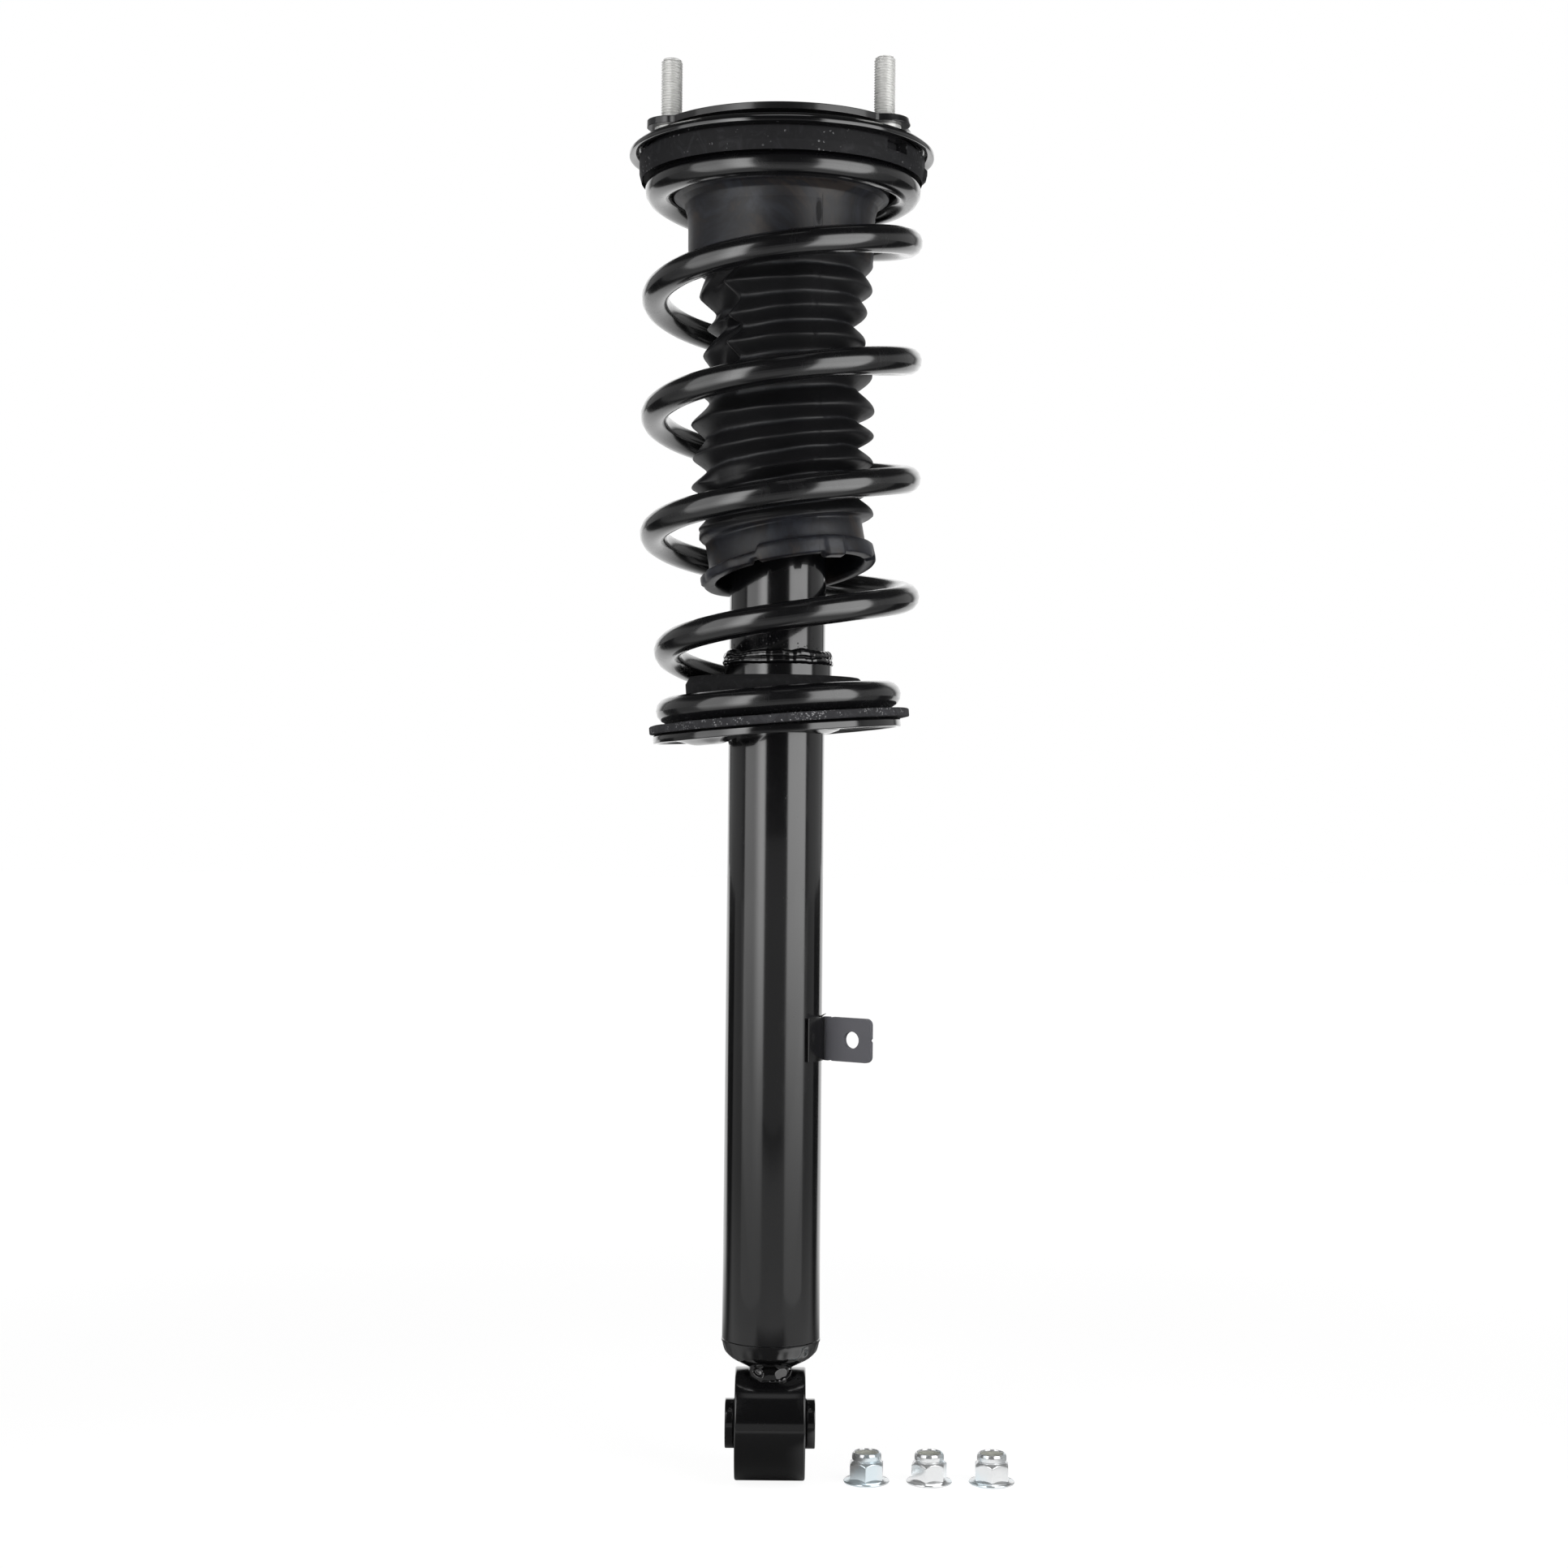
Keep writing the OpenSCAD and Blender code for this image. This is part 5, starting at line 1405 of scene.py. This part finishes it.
def build_bush():
    """Shell, rubber and sleeve of the lower bush, one inside the other."""
    low, high = span("bush_shell")
    half = (high.x - low.x) / 2
    outer = (high.z - low.z) / 2
    shell = turned("bush_shell_dressed", rounded([
        (outer - 1.5, -half, 0.3), (outer - 1.5, half, 0.3), (outer, half, 0.3),
        (outer, -half, 0.3)], steps=2), 144)
    finished(along_x(shell, EYE_Z), "plate_paint", "bare_steel", "damper", "bush_shell")

    inner, wide = SLEEVE_R + 0.06, outer - 1.5
    bush = turned("bush_rubber_moulding", rounded([
        (inner, 0.8 - half, 0.4), (inner + 1.6, 0.5 - half, 0.8), (inner + 3.6, 2.4 - half, 1.5),
        (wide - 1.4, 2.6 - half, 1.4), (wide, 0.9 - half, 0.5), (wide, half - 0.9, 0.5),
        (wide - 1.4, half - 2.6, 1.4), (inner + 3.6, half - 2.4, 1.5),
        (inner + 1.6, half - 0.5, 0.8), (inner, half - 0.8, 0.4)], steps=4), 144)
    finished(along_x(bush, EYE_Z), "mount_rubber", "isolator_rubber", "damper",
             "bush_rubber")

    half = (SLEEVE_HIGH.x - SLEEVE_LOW.x) / 2
    sleeve = turned("bush_sleeve_turned", rounded([
        (7.1, -half, 0.6), (7.1, half, 0.6), (SLEEVE_R + 0.55, half, 0.5),
        (SLEEVE_R + 0.55, EYE_W / 2 + 0.15, 0.2), (SLEEVE_R, EYE_W / 2 + 0.15, 0.2),
        (SLEEVE_R, -EYE_W / 2 - 0.15, 0.2), (SLEEVE_R + 0.55, -EYE_W / 2 - 0.15, 0.2),
        (SLEEVE_R + 0.55, -half, 0.5)], steps=3), 144)
    finished(along_x(sleeve, EYE_Z), "gloss_enamel", "black_gloss", "lower_bush",
             "bush_sleeve")


def build_eye_weld():
    """A lump of weld between the damper and the eye, with a pit and a second, lower run."""
    ripple = sizes().weld_ripple / MM
    start()
    bpy.ops.mesh.primitive_ico_sphere_add(subdivisions=6, radius=10 * MM)
    lump = added("lump")
    pit = Vector((-6.2, -9.0, 4.0))
    facets = [(Vector(normal).normalized(), reach) for normal, reach in (
        ((-0.62, -0.75, 0.20), 11.8), ((0.46, -0.86, 0.30), 11.9), ((0.05, -0.93, -0.36), 12.3))]

    def cast(x, y, z):
        toward = Vector((x, y, z)).normalized()
        toward /= sum(abs(part) ** 3 for part in toward) ** (1 / 3)
        grow = 1 + 0.05 * rumple(x, y, z, 8, 3) + 0.02 * ripple * rumple(x, y, z, 3, 5)
        grow -= 0.16 * step(1.9, 0.4, (Vector((x, y, z)) - pit * 0.88).length - 1.2)
        cut = Vector((toward.x * 10.0, toward.y * 12.4, toward.z * 6.1)) * grow
        for normal, reach in facets:
            cut -= normal * max(0.0, cut.dot(normal) - reach)
        px, py, pz = cut
        drop = EYE_R - math.sqrt(EYE_R ** 2 - min(py * py, EYE_R ** 2 - 1))
        return px - 0.4, py - 1.2, EYE_Z + EYE_R - 0.4 + pz - drop * 0.85
    reshape(lump, cast)
    points = []
    for i in range(15):
        a = math.radians(270 + 5 * i)
        out = (abs(math.cos(a)) ** 3 + abs(math.sin(a)) ** 3) ** (1 / 3)
        x, y = 10.1 * math.cos(a) / out - 0.4, 12.6 * math.sin(a) / out - 1.2
        points.append((x, y, EYE_Z + math.sqrt(EYE_R ** 2 - y * y) + 0.3))
    run = tube_along("run", points, lambda i: 1.3 + 0.2 * math.sin(i * 1.9) - abs(i - 7) * 0.09,
                     16)
    bead = join("eye_weld_bead", lump, run)
    finished(bead, "gloss_enamel", "black_gloss", "damper", "eye_weld", angle=50)


# ---------------------------------------------------------------- nuts

NUT_Y = -4.5
# Where each nut stands along X, and how far it is turned
NUT_PLACES = ((46.2, -4.6), (76.0, -13.8), (105.8, -2.6))


def build_nuts():
    """A flange nut: a thin flange, a hexagon with turned-off corners and a rolled collar."""
    low, high = span("loose_nuts")
    height = high.z - low.z
    reach = (high.y - low.y) / 2
    flats = 15.4
    hex_top = 10.4
    corner = flats / math.cos(math.radians(30)) / 2
    flange = turned("flange", rounded([
        (4.7, 0.4, 0.2), (5.6, 0, 0.2), (reach - 0.9, 0, 0.2), (reach - 0.25, 0.2, 0.2),
        (reach, 0.75, 0.35), (reach - 0.3, 1.25, 0.35), (9.2, 1.75, 1.0), (7.4, 2.9, 0.8),
        (4.7, 2.9, 0.2)], steps=4), 144)
    hexagon = turned("hexagon", packed(
        [(4.7, 1.2), (corner + 0.04, 1.2), (corner + 0.04, hex_top - 1.75),
         (7.1, hex_top), (4.7, hex_top)], 0.3), 192)

    def place(x, y, z):
        rad = math.hypot(x, y)
        away = math.radians((heading(x, y) % 60) - 30)
        if rad > 6.2:
            rad = clipped(rad, flats / 2 / math.cos(away), 0.07)
        angle = math.radians(heading(x, y))
        return rad * math.cos(angle), rad * math.sin(angle), z
    reshape(hexagon, place)
    collar = turned("collar", rounded([
        (4.7, hex_top - 0.8, 0.1), (6.7, hex_top - 0.8, 0.1), (6.65, hex_top + 0.3, 0.3),
        (6.95, hex_top + 0.9, 0.4), (6.95, height - 1.5, 1.0), (6.4, height - 0.2, 0.6),
        (6.0, height, 0.3), (5.7, height - 0.5, 0.3), (5.7, height - 3.4, 0.1),
        (4.7, height - 3.4, 0.1)], steps=6), 144)
    nut = join("nut", flange, hexagon, collar)
    insert = turned("insert", rounded([
        (4.62, height - 3.3, 0.2), (4.62, height - 1.3, 0.5), (5.68, height - 0.9, 0.1),
        (5.68, height - 3.3, 0.1)], steps=3), 96)
    nuts, inserts = [], []
    for x, turn in NUT_PLACES:
        spin = Matrix.Translation((x * MM, NUT_Y * MM, low.z * MM)) @ Matrix.Rotation(
            math.radians(30 + turn), 4, "Z")
        for source, group in ((nut, nuts), (insert, inserts)):
            copy = source.copy()
            copy.data = source.data.copy()
            bpy.context.collection.objects.link(copy)
            copy.data.transform(spin)
            group.append(copy)
    for source in (nut, insert):
        bpy.data.objects.remove(source)
    finished(join("flange_nuts", *nuts), "nut_zinc", "zinc_nut", "top_mount", "loose_nuts")
    finished(join("flange_nut_inserts", *inserts), "insert_nylon", "nylon", "top_mount",
             "nut_inserts")


# ---------------------------------------------------------------- inner parts and stage

def paint_inner_parts():
    """Materials for the CAD parts that stay."""
    slots = {}
    for part in frame["record"].get("subparts", []):
        slots[part["node"]] = part["material_slot"]
    made = finishes()
    for name, obj in frame["nodes"].items():
        obj.data.materials.clear()
        obj.data.materials.append(made[SLOT_FINISH[slots[name]]])


def build_oil_seal():
    """A seal with a lip on the rod at both faces."""
    r, foot, top = round_size("oil_seal")
    seal = turned("oil_seal_lipped", rounded([
        (6.35, top, 0.2), (8.2, top - 1.6, 0.5), (11, top - 1.6, 0.6),
        (12, top, 0.6), (r, top, 0.5), (r, foot, 0.5), (12, foot, 0.6),
        (11, foot + 1.6, 0.6), (8.2, foot + 1.6, 0.5), (6.35, foot, 0.2)], steps=3), 96)
    finished(seal, "mount_rubber", "isolator_rubber", "damper", "oil_seal")


def build_rebound_stop():
    """The ring on the rod that ends the extension stroke."""
    r, foot, top = round_size("rebound_stop")
    stop = turned("rebound_stop_turned", rounded([
        (6.3, top, 0.4), (r, top, 0.9), (r, foot, 0.9), (6.3, foot, 0.4)], steps=3), 96)
    finished(stop, "mount_rubber", "isolator_rubber", "top_mount", "rebound_stop")


def soft_box(name, first, last, foot, top, level, pattern):
    """An upright rectangular lamp between two points of the floor plan, in metres.

    Level is its brightness as seen in a reflection, and pattern turns its own width and
    height, both from 0 to 1, into a share of that level.
    """
    width = math.dist(first, last)
    height = top - foot
    middle = Vector(((first[0] + last[0]) / 2, (first[1] + last[1]) / 2, (foot + top) / 2))
    data = bpy.data.lights.new(name, "AREA")
    data.shape = "RECTANGLE"
    data.size = width
    data.size_y = height
    data.energy = level * math.pi * width * height * sizes().lamp_level
    data.use_nodes = True
    tree = Tree(data.node_tree)
    place = tree.node("ShaderNodeNewGeometry").part("Parametric")
    split = tree.node("ShaderNodeSeparateXYZ", values=[place])
    tree.put(data.node_tree.nodes["Emission"].inputs["Strength"],
             pattern(split, split.part("Y")))
    lamp = bpy.data.objects.new(name, data)
    bpy.context.collection.objects.link(lamp)
    lamp.location = middle
    lamp.rotation_euler = Vector((-middle.x, -middle.y, 0)).to_track_quat("-Z", "Y").to_euler()
    lamp.visible_camera = False
    return lamp


# The camera: lens and sensor in millimetres, rise as a share of the frame, place in metres
LENS = 58.14
SENSOR = 36
CAMERA_RISE = 17 / 1932
CAMERA_AT = (0.0039, -1.2106, -0.316)
CAMERA_ROLL = math.radians(0.54)


def build_camera():
    """A level camera in front of the strut."""
    data = bpy.data.cameras.new("camera")
    data.lens = LENS
    data.sensor_width = SENSOR
    data.shift_y = CAMERA_RISE
    data.clip_start = 0.05
    data.clip_end = 30
    camera = bpy.data.objects.new("camera", data)
    bpy.context.collection.objects.link(camera)
    camera.matrix_world = (Matrix.Translation(CAMERA_AT)
                           @ Matrix.Rotation(math.radians(90), 4, "X")
                           @ Matrix.Rotation(CAMERA_ROLL, 4, "Z"))
    bpy.context.scene.camera = camera


def build_floor():
    """A pale floor that keeps a faint shadow and shows white to the camera."""
    start()
    bpy.ops.mesh.primitive_plane_add(size=14, location=(0, 2, (FLOOR_Z - 0.02) * MM))
    floor = added("floor")
    bpy.ops.object.transform_apply(location=True, rotation=True, scale=True)
    paint = Paint("floor_paint", Specular_IOR_Level=0.1, Emission_Strength=1.0)
    where = paint.where()
    paint.into("Base Color", (*colours().floor, 1))
    paint.into("Roughness", 0.85 + 0.1 * paint.noise(where, 40, 2))
    light_path = paint.node("ShaderNodeLightPath")
    away = paint.node("ShaderNodeVectorMath", {"operation": "DISTANCE"},
                      {0: where, 1: (0, 0, FLOOR_Z * MM)}, out=1)
    near_nuts = paint.node("ShaderNodeVectorMath", {"operation": "DISTANCE"},
                           {0: where, 1: (0.088, -0.035, FLOOR_Z * MM)}, out=1)
    far = away.above(0.7, 0.4)
    seen = light_path * (0.925 + 0.075 * far)
    # Seen in paint and zinc: white behind the strut and round the nuts, pale in front and
    # at both sides
    split = paint.node("ShaderNodeSeparateXYZ", values=[where])
    y = split.part("Y")
    reach = split.math("ABSOLUTE")
    behind = y.above(0.35, 0.25) * (y * 0.85 + 0.10 - reach).above(0, 0.10)
    ahead = (1 - y.above(-0.30, 0.10)) * y.above(-1.1, 0.2)
    beside = (reach + 0.45 * y).above(0.04, 0.04) * (1 - (y - 0.36 * reach).above(0, 0.08))
    white = (0.85 * behind).most(0.34 * ahead).most((0.34 - 0.14 * far) * beside)
    white = white.most(1.0 - near_nuts.above(0.062, 0.02))
    level = seen + light_path.part("Is Glossy Ray") * white
    paint.into("Emission Color", paint.node("ShaderNodeCombineColor", values=[level] * 3))
    floor.data.materials.append(paint.material)


# Foot and top of the upright lamps, in metres
LAMP_FOOT = -0.64
LAMP_TOP = 0.24


def build_lamps():
    """Two upright soft boxes, a low one in front and one overhead."""
    def fade(up):
        """Dim at the foot and dark at the top edge."""
        return (0.12 + 0.88 * up.above(0.22, 0.20)) * (1 - up.above(0.90, 0.08))

    def right(across, up):
        """Soft at both upright edges."""
        return (1 - across).above(0.06, 0.06) * across.above(0.07, 0.07) * fade(up)

    def left(across, up):
        """Bright over a part of its width and dimmer over the rest."""
        bright = 0.42 + 0.58 * across.above(0.62, 0.16) * up.above(0.12, 0.10)
        return bright * (1 - across.above(0.93, 0.07)) * across.above(0.05, 0.05) * fade(up)

    soft_box("right_box", (0.215, -0.462), (0.498, -0.113), LAMP_FOOT, LAMP_TOP, 2.8, right)
    soft_box("left_box", (-0.500, -0.100), (-0.180, -0.475), LAMP_FOOT, LAMP_TOP, 3.4, left)
    soft_box("front_box", (0.62, -1.25), (-0.62, -1.25), LAMP_FOOT, -0.352, 0.22,
             lambda across, up: 1 - (1 - up).above(0.98, 0.01))
    overhead = soft_box("overhead_box", (-0.17, 0), (0.17, 0), 0.73, 1.07, 0.8,
                        lambda across, up: across.above(0.03, 0.03))
    overhead.rotation_euler = (0, 0, 0)


def build_world():
    """White to the camera.

    In reflections it is a white backdrop, grey side walls, a lamp high in front and dark
    elsewhere.
    """
    world = bpy.data.worlds.new("studio")
    bpy.context.scene.world = world
    world.use_nodes = True
    world.node_tree.nodes.clear()
    tree = Tree(world.node_tree)
    toward = tree.node("ShaderNodeTexCoord")
    split = tree.node("ShaderNodeSeparateXYZ", values=[toward])
    x, y, z = split, split.part("Y"), split.part("Z")
    level = (1 - z * z).most(0.0001) ** 0.5
    back = y / level
    upright = (z + 0.6).above(0, 0.12) * (1 - z.above(0.46, 0.10))
    walls = back.above(-0.12, 0.16) * (1 - back.above(0.755, 0.03)) * upright
    walls = walls * (0.25 + 0.05 * x.above(0, 0.1))
    backdrop = back.above(0.83, 0.06) * upright
    lamp_row = z.above(0.905, 0.012) * (1 - z.above(0.965, 0.012)) * (1 - y.above(-0.1, 0.05))
    lamp_row = lamp_row * (1 - x.math("ABSOLUTE").above(0.12, 0.03))
    glow = 0.035 + walls + backdrop + 0.30 * lamp_row
    studio = tree.node("ShaderNodeBackground", values=[(1, 1, 1, 1), glow])
    white = tree.node("ShaderNodeBackground", values=[(1, 1, 1, 1), 1.0])
    seen = tree.node("ShaderNodeLightPath")
    mixed = tree.node("ShaderNodeMixShader", values=[seen, studio, white])
    output = world.node_tree.nodes.new("ShaderNodeOutputWorld")
    tree.put(output.inputs[0], mixed)
    bpy.context.scene.view_settings.view_transform = "Standard"


# ---------------------------------------------------------------- operators

class STRUT_OT_stage(bpy.types.Operator):
    """Adds the camera, the floor, the soft boxes and the studio's light"""
    bl_idname = "strut.stage"
    bl_label = "Stage"

    def execute(self, context):
        build_camera()
        build_floor()
        build_lamps()
        build_world()
        return {"FINISHED"}


class STRUT_OT_inner_parts(bpy.types.Operator):
    """Paints the CAD parts that stay and models the seal and the rebound stop"""
    bl_idname = "strut.inner_parts"
    bl_label = "Inner parts"

    def execute(self, context):
        paint_inner_parts()
        build_oil_seal()
        build_rebound_stop()
        return {"FINISHED"}


class STRUT_OT_mount_plate(bpy.types.Operator):
    """Models the pressed mount plate with its cup and its lobes round the studs"""
    bl_idname = "strut.mount_plate"
    bl_label = "Mount plate"

    def execute(self, context):
        build_mount_plate()
        return {"FINISHED"}


class STRUT_OT_studs(bpy.types.Operator):
    """Models the threaded studs pressed into the mount plate"""
    bl_idname = "strut.studs"
    bl_label = "Studs"

    def execute(self, context):
        build_studs()
        return {"FINISHED"}


class STRUT_OT_rod_end(bpy.types.Operator):
    """Models the mount's rubber, its washer, the rod nut and the cushion on the seat"""
    bl_idname = "strut.rod_end"
    bl_label = "Rod end"

    def execute(self, context):
        build_rod_nut()
        build_rod_washer()
        build_mount_rubber()
        build_seat_cushion()
        return {"FINISHED"}


class STRUT_OT_upper_seat(bpy.types.Operator):
    """Models the upper spring seat with its rolled rim"""
    bl_idname = "strut.upper_seat"
    bl_label = "Upper seat"

    def execute(self, context):
        build_upper_seat()
        return {"FINISHED"}


class STRUT_OT_upper_isolator(bpy.types.Operator):
    """Models the upper rubber ring with its skirt, notch and tab"""
    bl_idname = "strut.upper_isolator"
    bl_label = "Upper isolator"

    def execute(self, context):
        build_upper_isolator()
        return {"FINISHED"}


class STRUT_OT_spring(bpy.types.Operator):
    """Models the coil spring with its closed end coils"""
    bl_idname = "strut.spring"
    bl_label = "Coil spring"

    def execute(self, context):
        build_spring()
        return {"FINISHED"}


class STRUT_OT_boot(bpy.types.Operator):
    """Models the dust boot: collar, uneven folds and leaning cuff"""
    bl_idname = "strut.boot"
    bl_label = "Dust boot"

    def execute(self, context):
        build_boot()
        return {"FINISHED"}


class STRUT_OT_bump_stop(bpy.types.Operator):
    """Models the waisted foam stop inside the boot"""
    bl_idname = "strut.bump_stop"
    bl_label = "Bump stop"

    def execute(self, context):
        build_bump_stop()
        return {"FINISHED"}


class STRUT_OT_damper(bpy.types.Operator):
    """Models the damper's outer tube and its rounded, fluted base"""
    bl_idname = "strut.damper"
    bl_label = "Damper tube"

    def execute(self, context):
        build_tube()
        build_base_cap()
        return {"FINISHED"}


class STRUT_OT_lower_seat(bpy.types.Operator):
    """Models the leaning lower seat and the weld round its neck"""
    bl_idname = "strut.lower_seat"
    bl_label = "Lower seat"

    def execute(self, context):
        build_lower_seat()
        build_seat_weld()
        return {"FINISHED"}


class STRUT_OT_lower_pad(bpy.types.Operator):
    """Models the rubber pad between the spring and the lower seat"""
    bl_idname = "strut.lower_pad"
    bl_label = "Lower pad"

    def execute(self, context):
        build_lower_pad()
        return {"FINISHED"}


class STRUT_OT_hose_bracket(bpy.types.Operator):
    """Models the bent sheet that carries the brake hose"""
    bl_idname = "strut.hose_bracket"
    bl_label = "Hose bracket"

    def execute(self, context):
        build_bracket()
        return {"FINISHED"}


class STRUT_OT_lower_eye(bpy.types.Operator):
    """Models the eye, its bush and the weld that joins it to the damper"""
    bl_idname = "strut.lower_eye"
    bl_label = "Lower eye"

    def execute(self, context):
        build_eye_ring()
        build_bush()
        build_eye_weld()
        return {"FINISHED"}


class STRUT_OT_loose_nuts(bpy.types.Operator):
    """Models one flange nut with its locking insert and copies it along the row"""
    bl_idname = "strut.loose_nuts"
    bl_label = "Loose nuts"

    def execute(self, context):
        build_nuts()
        return {"FINISHED"}


OPERATORS = (
    STRUT_OT_stage, STRUT_OT_inner_parts, STRUT_OT_mount_plate, STRUT_OT_studs,
    STRUT_OT_rod_end, STRUT_OT_upper_seat, STRUT_OT_upper_isolator, STRUT_OT_spring,
    STRUT_OT_boot, STRUT_OT_bump_stop, STRUT_OT_damper, STRUT_OT_lower_seat,
    STRUT_OT_lower_pad, STRUT_OT_hose_bracket, STRUT_OT_lower_eye, STRUT_OT_loose_nuts,
)


class STRUT_PT_panel(bpy.types.Panel):
    """Lists the strut's pieces, sizes and colours"""
    bl_idname = "STRUT_PT_panel"
    bl_label = "Suspension strut"
    bl_space_type = "VIEW_3D"
    bl_region_type = "UI"
    bl_category = "Strut"

    def draw(self, context):
        layout = self.layout
        for group in (context.scene.strut_sizes, context.scene.strut_colours):
            box = layout.box()
            for name in group.bl_rna.properties.keys():
                if name not in ("rna_type", "name"):
                    box.prop(group, name)
        for kind in OPERATORS:
            layout.operator(kind.bl_idname)


CLASSES = (StrutSizes, StrutColours, *OPERATORS, STRUT_PT_panel)


def register():
    """Makes the classes and their settings known to Blender."""
    for kind in CLASSES:
        bpy.utils.register_class(kind)
    bpy.types.Scene.strut_sizes = PointerProperty(type=StrutSizes)
    bpy.types.Scene.strut_colours = PointerProperty(type=StrutColours)


def unregister():
    """Takes away what register() made."""
    del bpy.types.Scene.strut_colours
    del bpy.types.Scene.strut_sizes
    for kind in reversed(CLASSES):
        bpy.utils.unregister_class(kind)


def main():
    """Builds every piece."""
    register()
    for kind in OPERATORS:
        group, name = kind.bl_idname.split(".")
        getattr(getattr(bpy.ops, group), name)()


if __name__ == "__main__":
    main()
